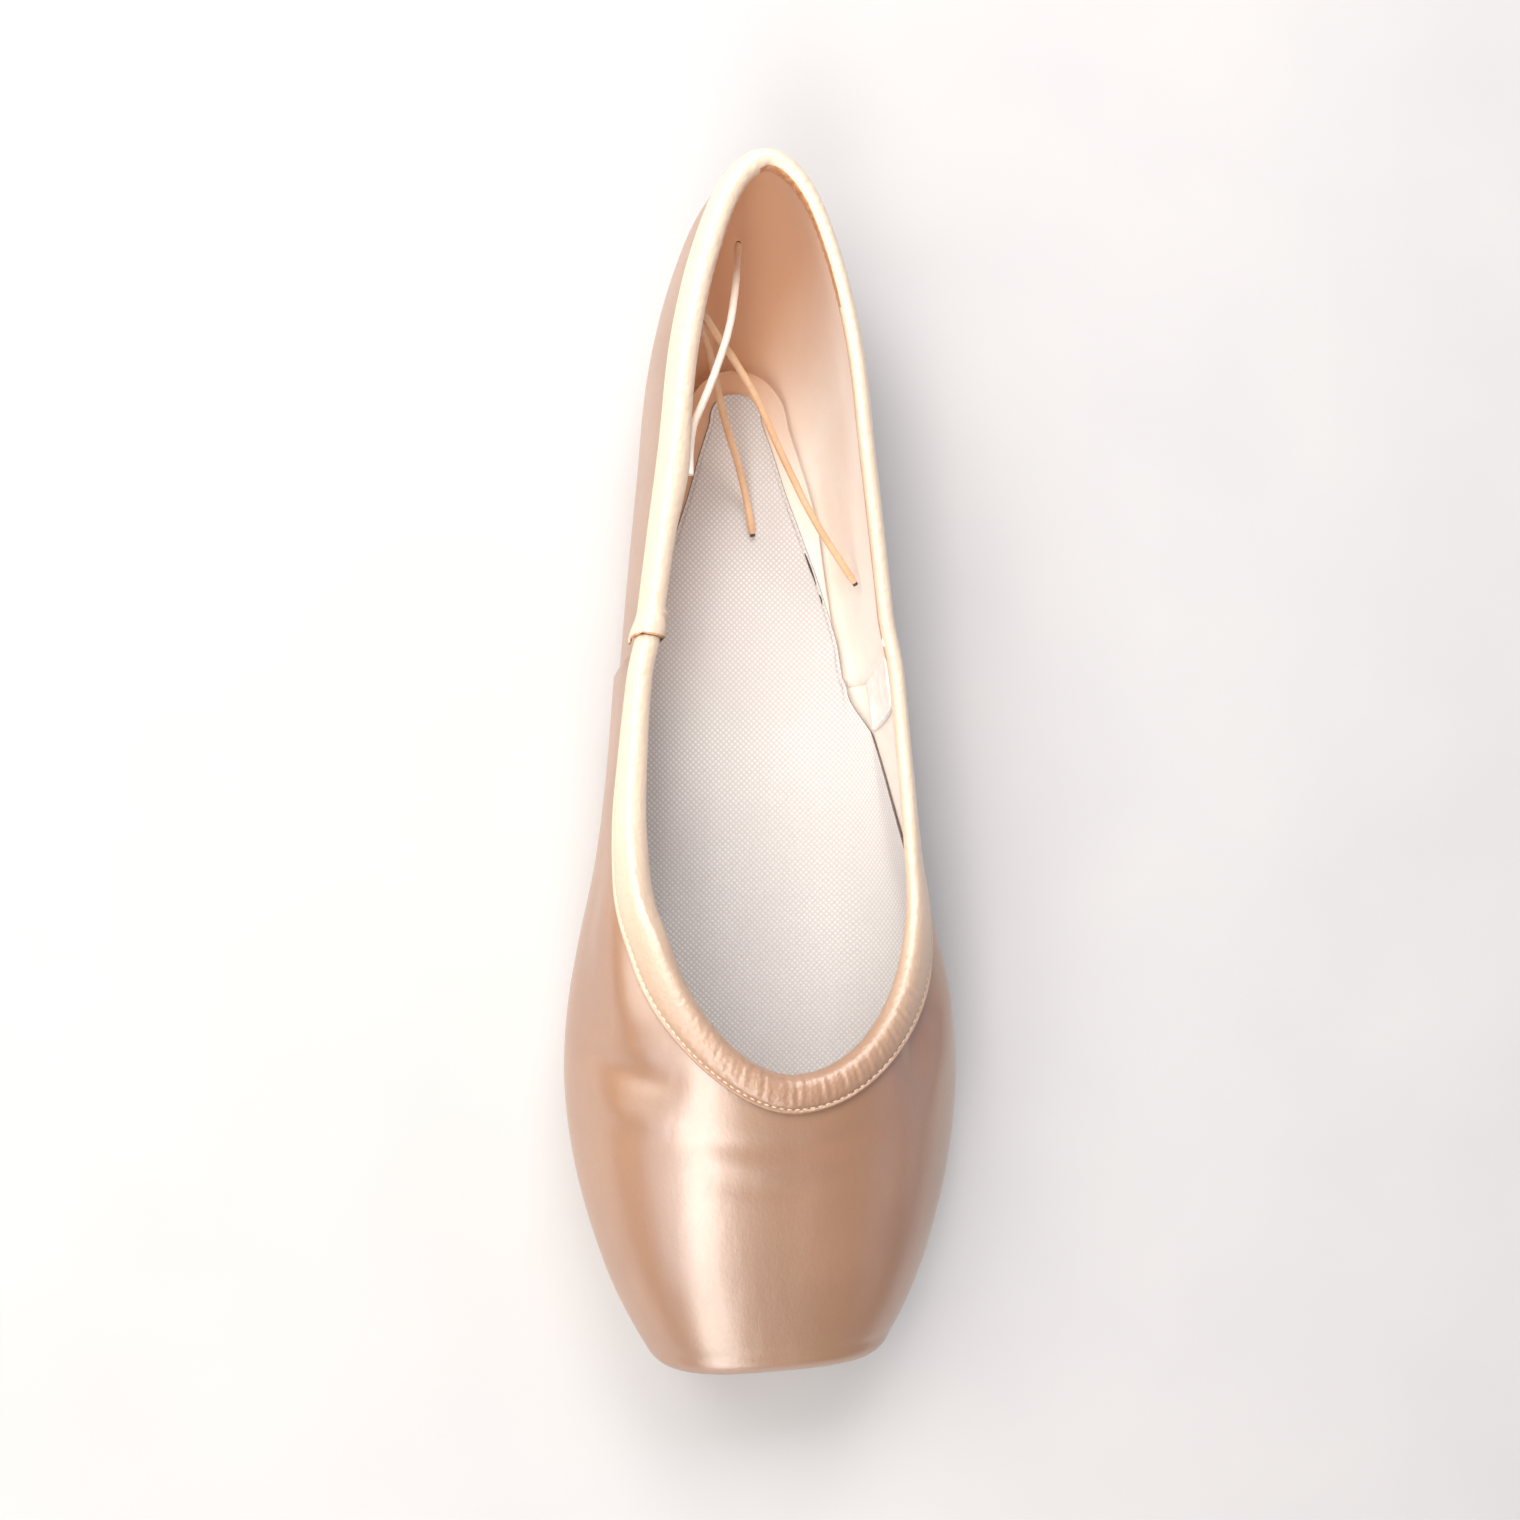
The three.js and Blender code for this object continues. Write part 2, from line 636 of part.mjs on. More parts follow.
// A round cord along a route.
function cordGeometry(route) {
  const points = route.map((row) => toVector({ x: row.x, t: row.station, z: row.height }));
  const path = new THREE.CatmullRomCurve3(points, false, "centripetal");
  const sides = 8;
  const outlinePoints = Array.from({ length: sides }, (_, i) => {
    const angle = (2 * Math.PI * i) / sides;
    return new THREE.Vector2(Math.cos(angle), Math.sin(angle)).multiplyScalar(CORD_DIAMETER / 2);
  });
  const steps = Math.round(path.getLength() / (2.2 * CORD_DIAMETER));
  return new THREE.ExtrudeGeometry(new THREE.Shape(outlinePoints), { steps, extrudePath: path, bevelEnabled: false });
}

function material(color, roughness, metalness = 0) {
  return new THREE.MeshStandardMaterial({ color, roughness, metalness });
}

const satin = material(0xdcb7a0, 0.35);
const creamSatin = material(0xf6e3d2, 0.4);
const suede = material(0xb08f6e, 0.9);
const sock = material(0xc9c8c6, 0.85);
const cotton = material(0xf4ece6, 0.6);
const elastic = material(0xf3eee9, 0.7);

const shoe = new THREE.Group();

function add(name, geometry, look) {
  const mesh = new THREE.Mesh(geometry, look);
  mesh.name = name;
  shoe.add(mesh);
}

add("upper", upperGeometry(), satin);
add("collar_casing", casingGeometry(), creamSatin);
add("outsole", outsoleGeometry(), suede);
add("insole", insoleGeometry(), sock);
add("side_tape_right", sideTape(1), cotton);
add("side_tape_left", sideTape(-1), cotton);
for (const [name, route] of Object.entries(CORDS)) add(name, cordGeometry(route), elastic);

export default shoe;
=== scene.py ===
"""A pointe shoe in peach satin, standing on its outsole.

Shapes are worked out in millimetres and stored in metres. +Z is up and the toe points along -Y. A station is
the distance from the toe platform back along the shoe, so a station t lies at y = t - LENGTH / 2. The last,
the rim and the cords' routes are those of the CAD part.
"""

import math

import bpy
import numpy as np
from mathutils import Matrix, Vector


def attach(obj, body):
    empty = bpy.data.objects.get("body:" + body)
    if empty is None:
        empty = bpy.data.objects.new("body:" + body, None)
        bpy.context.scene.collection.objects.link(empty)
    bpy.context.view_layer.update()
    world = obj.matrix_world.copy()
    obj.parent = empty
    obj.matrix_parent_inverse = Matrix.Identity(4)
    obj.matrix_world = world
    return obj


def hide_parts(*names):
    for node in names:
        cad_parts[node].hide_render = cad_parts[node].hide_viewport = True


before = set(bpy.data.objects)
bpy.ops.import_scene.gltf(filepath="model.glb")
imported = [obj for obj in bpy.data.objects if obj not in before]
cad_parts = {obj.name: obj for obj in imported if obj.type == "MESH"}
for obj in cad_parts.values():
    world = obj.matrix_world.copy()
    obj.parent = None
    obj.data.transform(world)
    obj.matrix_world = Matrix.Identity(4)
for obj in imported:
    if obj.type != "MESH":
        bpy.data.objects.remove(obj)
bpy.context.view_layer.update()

MM = 0.001
LENGTH = 238.0
SOLE_THICKNESS = 2.2
GAP = 0.3

# Camera and stage
CAMERA = dict(place=(-64.8, -5.3, 358.9), target=(-0.1, 1.6, 25.0), up=(0.0202, 0.9995, 0.0245), lens=40.0)

camera_data = bpy.data.cameras.new("camera")
camera_data.lens = CAMERA["lens"]
camera_data.sensor_width = 36.0
camera_data.clip_start = 0.01
camera = bpy.data.objects.new("camera", camera_data)
bpy.context.scene.collection.objects.link(camera)
bpy.context.scene.camera = camera
back = (Vector(CAMERA["place"]) - Vector(CAMERA["target"])).normalized()
right = Vector(CAMERA["up"]).cross(back).normalized()
up = back.cross(right)
axes = Matrix((right, up, back)).transposed()
camera.matrix_world = Matrix.Translation(Vector(CAMERA["place"]) * MM) @ axes.to_4x4()


# The last
ARCH_RISE = 1.6
TOE_SPRING = 3.4
PLATFORM_EDGE = 2.8
WALL = dict(box=2.8, quarter=1.5, box_end=40, quarter_start=88)
SEAM = dict(station=139.2, height=18, slant=0.17, step=1.1, half=0.45, reach=26)
CROWN_POWER = dict(toe=3.1, rear=2.4, end=55)
LOWER_POWER = 2.3
HEEL_ROUND = dict(station=186, power=2.3)
# Station, half width, height of the bulge, height of the crown, half width of the flat underside
LAST = [
    (-10, 15.5, 18.0, 28.0, 7.0),
    (0, 22.8, 18.0, 32.0, 11.0),
    (5, 25.9, 18.0, 34.4, 12.5),
    (13, 30.0, 18.0, 37.6, 14.5),
    (21, 33.2, 18.0, 40.3, 17.0),
    (33, 36.8, 18.0, 43.2, 20.5),
    (45, 39.2, 18.0, 45.6, 23.0),
    (58, 40.2, 18.0, 47.6, 24.5),
    (71, 39.3, 17.8, 49.0, 24.5),
    (84, 36.8, 17.4, 50.2, 24.0),
    (100, 33.1, 17.0, 53.4, 22.0),
    (116, 30.7, 16.6, 59.5, 20.0),
    (132, 28.9, 16.3, 64.5, 18.0),
    (150, 27.0, 16.2, 66.5, 16.5),
    (168, 25.1, 16.6, 66.5, 15.5),
    (186, 23.2, 17.6, 66.0, 15.0),
    (200, 22.2, 18.8, 65.5, 13.5),
    (212, 21.2, 19.6, 65.5, 12.0),
    (224, 20.5, 20.0, 65.5, 11.0),
    (238, 21.0, 20.0, 65.5, 10.0),
]
# Height, and how far the back of the heel lies in front of the shoe's rearmost point
HEEL_BACK = [
    (0, 27.0), (2.5, 24.5), (5, 17.0), (8, 11.5), (12, 7.0), (18, 3.0),
    (24, 0.8), (30, 0.0), (40, 1.2), (50, 3.6), (60, 6.5),
]
THROAT = dict(station=59.3, centre=100, half=27.2, shift=0.8, left=1.75, right=2.06)
# Station and height of the rim behind the throat
RIM = [
    (76, 44.4), (84, 41.4), (92, 39.0), (100, 37.6), (110, 37.0), (122, 37.3), (136, 38.5),
    (150, 40.7), (164, 43.3), (178, 45.9), (192, 47.7), (206, 48.7), (222, 49.1), (238, 49.1),
]
# Station and half width
OUTSOLE = dict(
    front=30,
    back=207,
    rows=[
        (36, 17.5), (46, 23.0), (60, 25.0), (74, 24.2), (92, 20.5), (112, 16.8),
        (134, 15.0), (156, 15.6), (176, 16.6), (192, 15.6), (202, 12.0),
    ],
)
INSOLE = dict(
    front=14,
    back=204,
    rows=[
        (20, 17.0), (28, 24.0), (38, 29.0), (50, 32.4), (64, 32.8), (80, 32.4),
        (96, 31.2), (116, 27.6), (138, 23.2), (158, 19.6), (176, 16.0), (192, 11.2),
    ],
)
MARGIN_OVERLAP = 7


def curve(rows, column=1):
    """A smooth curve through a table's rows, straight beyond them."""
    keys = np.array([row[0] for row in rows], float)
    values = np.array([row[column] for row in rows], float)
    slopes = np.gradient(values, keys, edge_order=1)
    slopes[1:-1] = (values[2:] - values[:-2]) / (keys[2:] - keys[:-2])

    def at(x):
        x = np.asarray(x, float)
        i = np.clip(np.searchsorted(keys, x) - 1, 0, len(keys) - 2)
        span = keys[i + 1] - keys[i]
        u = np.clip((x - keys[i]) / span, 0, 1)
        v = 1 - u
        inner = values[i] * (1 + 2 * u) * v * v + values[i + 1] * u * u * (1 + 2 * v)
        inner += span * u * v * (slopes[i] * v - slopes[i + 1] * u)
        return inner + slopes[0] * np.minimum(x - keys[0], 0) + slopes[-1] * np.maximum(x - keys[-1], 0)

    return at


half_at, bulge_at, crown_at, flat_at = (curve(LAST, column) for column in (1, 2, 3, 4))
heel_back_at = curve(HEEL_BACK)
rim_height_at = curve(RIM)


def smoothstep(low, high, x):
    u = np.clip((np.asarray(x, float) - low) / (high - low), 0, 1)
    return u * u * (3 - 2 * u)


def bell(x, width):
    return np.exp(-((np.asarray(x, float) / width) ** 2))


def bisect(low, high, is_past, steps=22):
    """The value between low and high where a rising test turns from false to true, for whole arrays."""
    low, high = np.array(low, float), np.array(high, float)
    for _ in range(steps):
        middle = (low + high) / 2
        past = is_past(middle)
        high = np.where(past, middle, high)
        low = np.where(past, low, middle)
    return (low + high) / 2


def ground(t):
    arch = smoothstep(88, 124, t) * (1 - smoothstep(132, 168, t))
    return ARCH_RISE * arch + TOE_SPRING * (1 - smoothstep(-6, 44, t))


def underside(t):
    return ground(t) + SOLE_THICKNESS + GAP


def wall_at(t):
    thinning = smoothstep(WALL["box_end"], WALL["quarter_start"], t)
    return WALL["box"] + (WALL["quarter"] - WALL["box"]) * thinning


def seam_station(z):
    return SEAM["station"] + SEAM["slant"] * (z - SEAM["height"])


def outside(x, t, z, seam_half=SEAM["half"]):
    """How far outside the last a point lies, in millimetres: below 0 inside. The seam's step is spread over a
    half width to either side."""
    inset = heel_back_at(np.maximum(z, 0))
    s = np.maximum(-10, t + inset * smoothstep(0, 1, (t - 120) / (LENGTH - inset - 120)))
    within = np.minimum(s, LENGTH - 1e-6)
    turn = np.maximum(0, (within - HEEL_ROUND["station"]) / (LENGTH - HEEL_ROUND["station"]))
    rounding = np.sqrt(1 - turn ** HEEL_ROUND["power"])
    step = SEAM["step"] * smoothstep(-seam_half, seam_half, t - seam_station(z))
    half = np.maximum(0.01, half_at(within) * rounding - step)
    bulge = bulge_at(within)
    above = z >= bulge
    flat = np.where(above, 0, np.minimum(flat_at(within) * rounding, half - 0.01))
    height = np.where(above, crown_at(within) - bulge, bulge - underside(t))
    toe, rear = CROWN_POWER["toe"], CROWN_POWER["rear"]
    power = np.where(above, toe + (rear - toe) * smoothstep(0, CROWN_POWER["end"], within), LOWER_POWER)
    riser = np.where(above, 2.0, LOWER_POWER)
    side = np.maximum(1e-9, (np.abs(x) - flat) / (half - flat))
    rise = np.maximum(1e-9, np.abs(z - bulge) / height)
    reach = np.sqrt(side**power + rise**riser)
    across = power * side ** (power - 1) / (half - flat)
    upward = riser * rise ** (riser - 1) / height
    slope = np.hypot(across, upward) / (2 * reach + 1e-9)
    body = (reach - 1) / np.maximum(slope, 1 / (half + 1))
    blend = np.maximum(PLATFORM_EDGE - np.abs(body + t), 0)
    shape = np.maximum(body, -t) + blend**2 / (4 * PLATFORM_EDGE)
    return np.where(s >= LENGTH, 1 + s - LENGTH, shape)


def half_width(plan, t):
    """Half width of an outline at a station, closing at both ends."""
    t = np.asarray(t, float)
    rows = plan["rows"]
    nose, tail = rows[0], rows[-1]
    front = np.clip((nose[0] - t) / (nose[0] - plan["front"]), 0, 1)
    rear = np.clip((t - tail[0]) / (plan["back"] - tail[0]), 0, 1)
    middle = curve(rows)(np.clip(t, nose[0], tail[0]))
    return middle * np.sqrt(1 - front**2) * np.sqrt(1 - rear**2)


MARGIN = dict(
    front=OUTSOLE["front"] + MARGIN_OVERLAP,
    back=OUTSOLE["back"] - MARGIN_OVERLAP,
    rows=[(t, half - MARGIN_OVERLAP) for t, half in OUTSOLE["rows"][1:-1]],
)

TOE_FAN = THROAT["centre"]
HEEL_FAN = 188
BULGE_HEIGHT = 18
EDGE_HEIGHT = 3.0


def points(x, t, z):
    """Points of the frame, in millimetres."""
    x, t, z = np.broadcast_arrays(x, t, z)
    return np.stack([x, t - LENGTH / 2, z], -1).astype(float)


def run_along(p):
    """Distance along each row of points, from 0 at its first."""
    steps = np.linalg.norm(np.diff(p, axis=-2), axis=-1)
    return np.cumsum(np.concatenate([0 * steps[..., :1], steps], axis=-1), axis=-1)


def normals(p, seam_half=SEAM["half"]):
    """Outward normals of the last at points of the frame."""
    place = [p[..., 0], p[..., 1] + LENGTH / 2, p[..., 2]]
    slope = []
    for axis in range(3):
        ahead, behind = list(place), list(place)
        ahead[axis] = place[axis] + 0.02
        behind[axis] = place[axis] - 0.02
        slope.append(outside(*ahead, seam_half) - outside(*behind, seam_half))
    slope = np.stack(slope, -1)
    return slope / np.maximum(np.linalg.norm(slope, axis=-1, keepdims=True), 1e-9)


class Columns:
    """Upright planes round the shoe. A turn runs from 0 at the toe through 1 and 2 on one side to 3 at the
    heel, and a side is 1 on the right and -1 on the left."""

    def __init__(self, turn, side, seam_half=SEAM["half"]):
        self.seam_half = seam_half
        turn, side = np.broadcast_arrays(np.asarray(turn, float), np.asarray(side, float))
        toe = np.clip(turn, 0, 1) * math.pi / 2
        heel = (3 - np.clip(turn, 2, 3)) * math.pi / 2
        along = TOE_FAN + (HEEL_FAN - TOE_FAN) * np.clip(turn - 1, 0, 1)
        self.turn, self.side = turn[:, None], side[:, None]
        self.station = along[:, None]
        self.dx = (side * np.where(turn < 1, np.sin(toe), np.where(turn > 2, np.sin(heel), 1)))[:, None]
        self.dt = np.where(turn < 1, -np.cos(toe), np.where(turn > 2, np.cos(heel), 0))[:, None]
        beside = np.maximum(0, 1 - np.abs(self.station - SEAM["station"]) / SEAM["reach"])
        self.near = np.where((turn >= 1) & (turn <= 2), beside[:, 0], 0)[:, None]
        self.edge = bisect(0 * self.dx, 0 * self.dx + 120, self._past_edge)
        self.bulge = bisect(0 * self.dx, 0 * self.dx + 140, lambda r: self.out(r, BULGE_HEIGHT) > 0)
        self.pole = (self.edge + self.bulge) / 2
        self.rim = self._rim()
        self.end = -bisect(0 * self.dx + 0.3, 0 * self.dx + math.pi * 0.9, self._past_end)

    def place(self, r, z):
        t = self.station + self.dt * r + SEAM["slant"] * self.near * (z - SEAM["height"])
        return self.dx * r, t, z

    def out(self, r, z):
        return outside(*self.place(r, z), self.seam_half)

    def _past_edge(self, r):
        x, t, _ = self.place(r, EDGE_HEIGHT)
        return (np.abs(x) > half_width(MARGIN, t)) | (t < MARGIN["front"]) | (t > MARGIN["back"])

    def _past_end(self, angle):
        return self._ray(-angle)[0] < self.edge

    def _ray(self, angle):
        def at(d):
            return self.pole + d * np.cos(angle), BULGE_HEIGHT + d * np.sin(angle)

        d = bisect(np.zeros_like(angle), np.full_like(angle, 70), lambda d: self.out(*at(d)) > 0)
        return at(d)

    def surface(self, angle):
        """Points of the last's surface on rays at angles above the horizontal, a row for each column."""
        r, z = self._ray(angle)
        return points(*self.place(r, z))

    def _rim(self):
        def in_throat(angle):
            p = self.surface(angle)
            x, t = p[..., 0] - THROAT["shift"], p[..., 1] + LENGTH / 2
            v = np.maximum(0, (THROAT["centre"] - t) / (THROAT["centre"] - THROAT["station"]))
            power = np.where(x < 0, THROAT["left"], THROAT["right"])
            return (np.abs(x) / THROAT["half"]) ** power + v**power < 1

        def above_rim(angle):
            p = self.surface(angle)
            return p[..., 2] > rim_height_at(p[..., 1] + LENGTH / 2)

        rear = smoothstep(82, 112, self.station + self.dt * self.bulge * 0.8)
        start = 0 * self.dx
        by_plan = bisect(start, start + math.pi * 0.9, in_throat)
        by_height = bisect(start, start + math.pi * 0.55, above_rim)
        return by_plan * (1 - rear) + by_height * rear

    def angles_at(self, first, second, distances, count=40):
        """The angles at which the surface lies at distances from a first angle, towards a second."""
        share = np.linspace(0, 1, count + 1)[None]
        steps = first + (second - first) * share
        lengths = run_along(self.surface(steps))
        wanted = distances(lengths[:, -1:])
        return np.stack([np.interp(w, length, step) for w, length, step in zip(wanted, lengths, steps)])


def spread_turns(spacings):
    """Turns from 0 to 3, so far apart that neighbours are about a spacing apart at the bulge. Spacings are
    rows of a turn and the distance there."""
    turn = np.linspace(0, 3, 901)
    rough = Columns(turn, 1)
    p = points(*rough.place(rough.bulge, BULGE_HEIGHT))[:, 0]
    step = np.linalg.norm(np.diff(p, axis=0), axis=1)
    wanted = np.interp((turn[1:] + turn[:-1]) / 2, [s[0] for s in spacings], [s[1] for s in spacings])
    count = np.concatenate([[0], np.cumsum(step / wanted)])
    return np.interp(np.linspace(0, count[-1], int(round(count[-1])) + 1), count, turn)


def all_round(turns):
    """Columns on both sides, from the toe round the right side to the heel and back on the left."""
    right_side = [(turn, 1) for turn in turns]
    left_side = [(turn, -1) for turn in turns[1:-1][::-1]]
    return Columns([c[0] for c in right_side + left_side], [c[1] for c in right_side + left_side])


# Meshes
def grid_faces(rings, count, around, along):
    """Quads of a grid of rings with count points each. around closes each ring, and along joins the last ring
    to the first."""
    i = np.arange(rings if along else rings - 1)[:, None]
    j = np.arange(count if around else count - 1)[None]
    k, m = (i + 1) % rings, (j + 1) % count
    return np.stack([i * count + j, i * count + m, k * count + m, k * count + j], -1).reshape(-1, 4)


def capped_faces(rings, count):
    """Quads of a tube of rings, and a face over each of its ends."""
    faces = [list(face) for face in grid_faces(rings, count, True, False)]
    return faces + [list(range(count)), [(rings - 1) * count + i for i in range(count)][::-1]]


def new_mesh(name, p, faces, materials, slots=None):
    """An object with a mesh of points in millimetres, and one of its materials for each face."""
    p = np.asarray(p, float).reshape(-1, 3) * MM
    mesh = bpy.data.meshes.new(name)
    mesh.from_pydata(p.tolist(), [], [list(map(int, face)) for face in faces])
    if slots is not None:
        mesh.polygons.foreach_set("material_index", np.asarray(slots, np.int32))
    mesh.polygons.foreach_set("use_smooth", [True] * len(mesh.polygons))
    mesh.update()
    mesh.validate()
    for material in materials:
        mesh.materials.append(material)
    piece = bpy.data.objects.new(name, mesh)
    bpy.context.scene.collection.objects.link(piece)
    return piece


def outward(p, faces):
    """Faces of a closed skin, turned so that they look outwards."""
    quads = np.array([face for face in faces if len(face) == 4])
    a, b, c, d = (p[quads[:, k]] for k in range(4))
    inner = np.einsum("ij,ij->i", a, np.cross(b, c)) + np.einsum("ij,ij->i", a, np.cross(c, d))
    return faces if inner.sum() > 0 else [list(face)[::-1] for face in faces]


def add(name, p, faces, materials, slots=None, replaces=()):
    """A closed piece that rides on the shoe, and may stand for CAD nodes."""
    flat = np.asarray(p, float).reshape(-1, 3)
    piece = new_mesh(name, flat, outward(flat, [list(face) for face in faces]), materials, slots)
    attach(piece, "root")
    if replaces:
        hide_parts(*replaces)
    return piece


# Materials
class Look:
    """A material under construction: its shader, and its nodes by short calls."""

    def __init__(self, name, **sockets):
        self.material = bpy.data.materials.new(name)
        self.material.use_nodes = True
        self.tree = self.material.node_tree
        self.shader = self.tree.nodes["Principled BSDF"]
        for socket, value in sockets.items():
            self.shader.inputs[socket.replace("_", " ")].default_value = value
        self.place = self.node("ShaderNodeTexCoord").outputs["Object"]

    def node(self, kind, **inputs):
        node = self.tree.nodes.new(kind)
        for socket, value in inputs.items():
            self.put(node.inputs[socket.replace("_", " ")], value)
        return node

    def put(self, socket, value):
        if isinstance(value, bpy.types.NodeSocket):
            self.tree.links.new(value, socket)
        else:
            socket.default_value = value

    def math(self, operation, a, b=0.0):
        node = self.tree.nodes.new("ShaderNodeMath")
        node.operation = operation
        for socket, value in zip(node.inputs, (a, b)):
            self.put(socket, value)
        return node.outputs[0]

    def turned(self, scale, rotation=(0, 0, 0), place=None):
        """The place on the object in millimetres, times a scale, turned by degrees."""
        scale = [1000 * s for s in (scale if hasattr(scale, "__len__") else (scale,) * 3)]
        node = self.node("ShaderNodeMapping", Vector=place or self.place, Scale=scale)
        node.inputs["Rotation"].default_value = [math.radians(r) for r in rotation]
        return node.outputs[0]

    def noise(self, scale, detail=2.0, roughness=0.5):
        """Noise with about one blob in each millimetre at scale 1. The scale may differ along each axis."""
        node = self.node("ShaderNodeTexNoise", Vector=self.turned(scale), Scale=1.0, Detail=detail)
        node.inputs["Roughness"].default_value = roughness
        return node.outputs[0]

    def span(self, value, low, high, to_low=0.0, to_high=1.0):
        node = self.node("ShaderNodeMapRange", Value=value)
        for socket, number in zip(node.inputs[1:5], (low, high, to_low, to_high)):
            socket.default_value = number
        return node.outputs[0]

    def mix(self, factor, a, b):
        node = self.tree.nodes.new("ShaderNodeMix")
        node.data_type = "RGBA"
        for index, value in ((0, factor), (6, a), (7, b)):
            if isinstance(value, tuple):
                value = colour(value)
            self.put(node.inputs[index], value)
        return node.outputs[2]

    def split(self, vector):
        return self.node("ShaderNodeSeparateXYZ", Vector=vector).outputs

    def bump(self, height, distance, strength=1.0, below=None):
        """A bump as deep as distance, in millimetres."""
        node = self.node("ShaderNodeBump", Height=height, Distance=distance * MM, Strength=strength)
        if below is not None:
            self.put(node.inputs["Normal"], below)
        return node.outputs[0]

    def finish(self, base=None, roughness=None, normal=None, tangent=None):
        for name, value in (
            ("Base Color", base),
            ("Roughness", roughness),
            ("Normal", normal),
            ("Tangent", tangent),
        ):
            if value is not None:
                self.put(self.shader.inputs[name], value)
        return self.material


def colour(rgb):
    """A linear colour from one given as sRGB parts of 255."""
    parts = [c / 255 for c in rgb]
    return tuple(c / 12.92 if c <= 0.04045 else ((c + 0.055) / 1.055) ** 2.4 for c in parts) + (1.0,)


def satin_look(name, light, deep, roughness, ior, puckers=0.0, rear=None, ruched_shade=None):
    """Warp-faced satin: a silky sheen in long soft bands over a deeper ground, with a fine grain. Behind the
    throat it may fade to a paler rear colour, partly its own and partly painted light, and ruched cloth gets
    painted brown shade in its wrinkles."""
    look = Look(name, Anisotropic=0.4, Sheen_Weight=0.1, Sheen_Roughness=0.35, IOR=ior)
    look.shader.inputs["Sheen Tint"].default_value = colour((255, 236, 220))
    patches = look.noise(0.045, detail=3.0)
    threads = look.noise((1.6, 0.25, 1.6), detail=3.0, roughness=0.6)
    speckle = look.noise((1.5, 1.1, 1.5), detail=3.0, roughness=0.7)
    base = look.mix(look.span(patches, 0.35, 0.65, 0.0, 0.6), light, deep)
    base = look.mix(look.span(threads, 0.3, 0.7, 0.0, 0.15), base, deep)
    base = look.mix(look.span(speckle, 0.42, 0.62, 0.0, 0.14), base, deep)
    # The paler rear colour is partly the cloth's own and partly painted light: the throat, turned away from
    # the lights, is painted deeper, and the part behind it paler where the lights fall.
    if rear:
        place = look.split(look.turned(1.0))
        base = look.mix(look.span(place[1], -62, -8), base, rear)
    # Painted shade: brown blotches stand for the shade in the ruching's wrinkles.
    if ruched_shade:
        wrinkle_shade = look.noise((1.3, 0.9, 1.3), detail=3.0, roughness=0.6)
        base = look.mix(look.span(wrinkle_shade, 0.42, 0.6, 0.25, 0.9), base, ruched_shade)
    rough = look.math("ADD", look.span(speckle, 0.3, 0.7, 0.0, 0.07), look.span(patches, 0.3, 0.7, 0, 0.04))
    rough = look.math("ADD", rough, roughness)
    drape = look.bump(look.noise((0.14, 0.05, 0.1), detail=2.0), 0.3, 0.3)
    if puckers:
        drape = look.bump(look.noise((0.6, 0.6, 0.6), detail=2.0), puckers, 0.6, below=drape)
    normal = look.bump(threads, 0.02, 0.6, below=drape)
    normal = look.bump(speckle, 0.05, 0.5, below=normal)
    tangent = look.node("ShaderNodeCombineXYZ", X=0.0, Y=1.0, Z=0.0).outputs[0]
    return look.finish(base, rough, normal, tangent)


satin = satin_look("satin", (167, 126, 98), (151, 109, 83), roughness=0.28, ior=2.6)
# The casing's rear colour: partly its own paler cloth, partly painted light behind the throat.
casing_satin = satin_look(
    "casing_satin",
    (175, 134, 107),
    (155, 114, 88),
    roughness=0.4,
    ior=2.1,
    puckers=0.45,
    rear=(237, 214, 190),
)
# The ruched inside of the casing, with painted brown shade in its wrinkles.
casing_ruched_shaded = satin_look(
    "casing_ruched_shaded",
    (226, 186, 150),
    (206, 158, 120),
    roughness=0.5,
    ior=1.7,
    puckers=0.5,
    ruched_shade=(190, 124, 78),
)


def lining_look():
    """The lining's plain-woven cloth: fine threads over soft patches of colour, with painted shade that
    deepens towards the heel and the left wall and leaves the lit right wall pale.
    """
    look = Look("lining", Sheen_Weight=0.2, Sheen_Roughness=0.5)
    pitch = 0.55
    deep = (245, 230, 218)
    along = look.split(look.turned(2 * math.pi / pitch))
    over = look.math("SINE", along[1])
    under = look.math("SINE", look.math("ADD", along[0], along[2]))
    weave = look.math("MULTIPLY", over, under)
    patches = look.noise(0.06, detail=3.0)
    fuzz = look.noise(1.4, detail=4.0, roughness=0.7)
    base = look.mix(look.span(patches, 0.35, 0.65), (249, 241, 233), deep)
    base = look.mix(look.span(fuzz, 0.35, 0.75, 0.0, 0.25), base, deep)
    # Painted shade: the heel and the left side, in the left wall's shadow, are painted tan, and the lit right
    # wall stays pale.
    place = look.split(look.turned(1.0))
    shade = look.math("SUBTRACT", place[1], look.math("MULTIPLY", place[0], 2.4))
    base = look.mix(look.span(shade, 30, 78), base, (228, 186, 154))
    normal = look.bump(weave, 0.02, 0.5)
    normal = look.bump(fuzz, 0.12, 0.4, below=normal)
    return look.finish(base, look.span(fuzz, 0.3, 0.7, 0.64, 0.76), normal)


lining = lining_look()


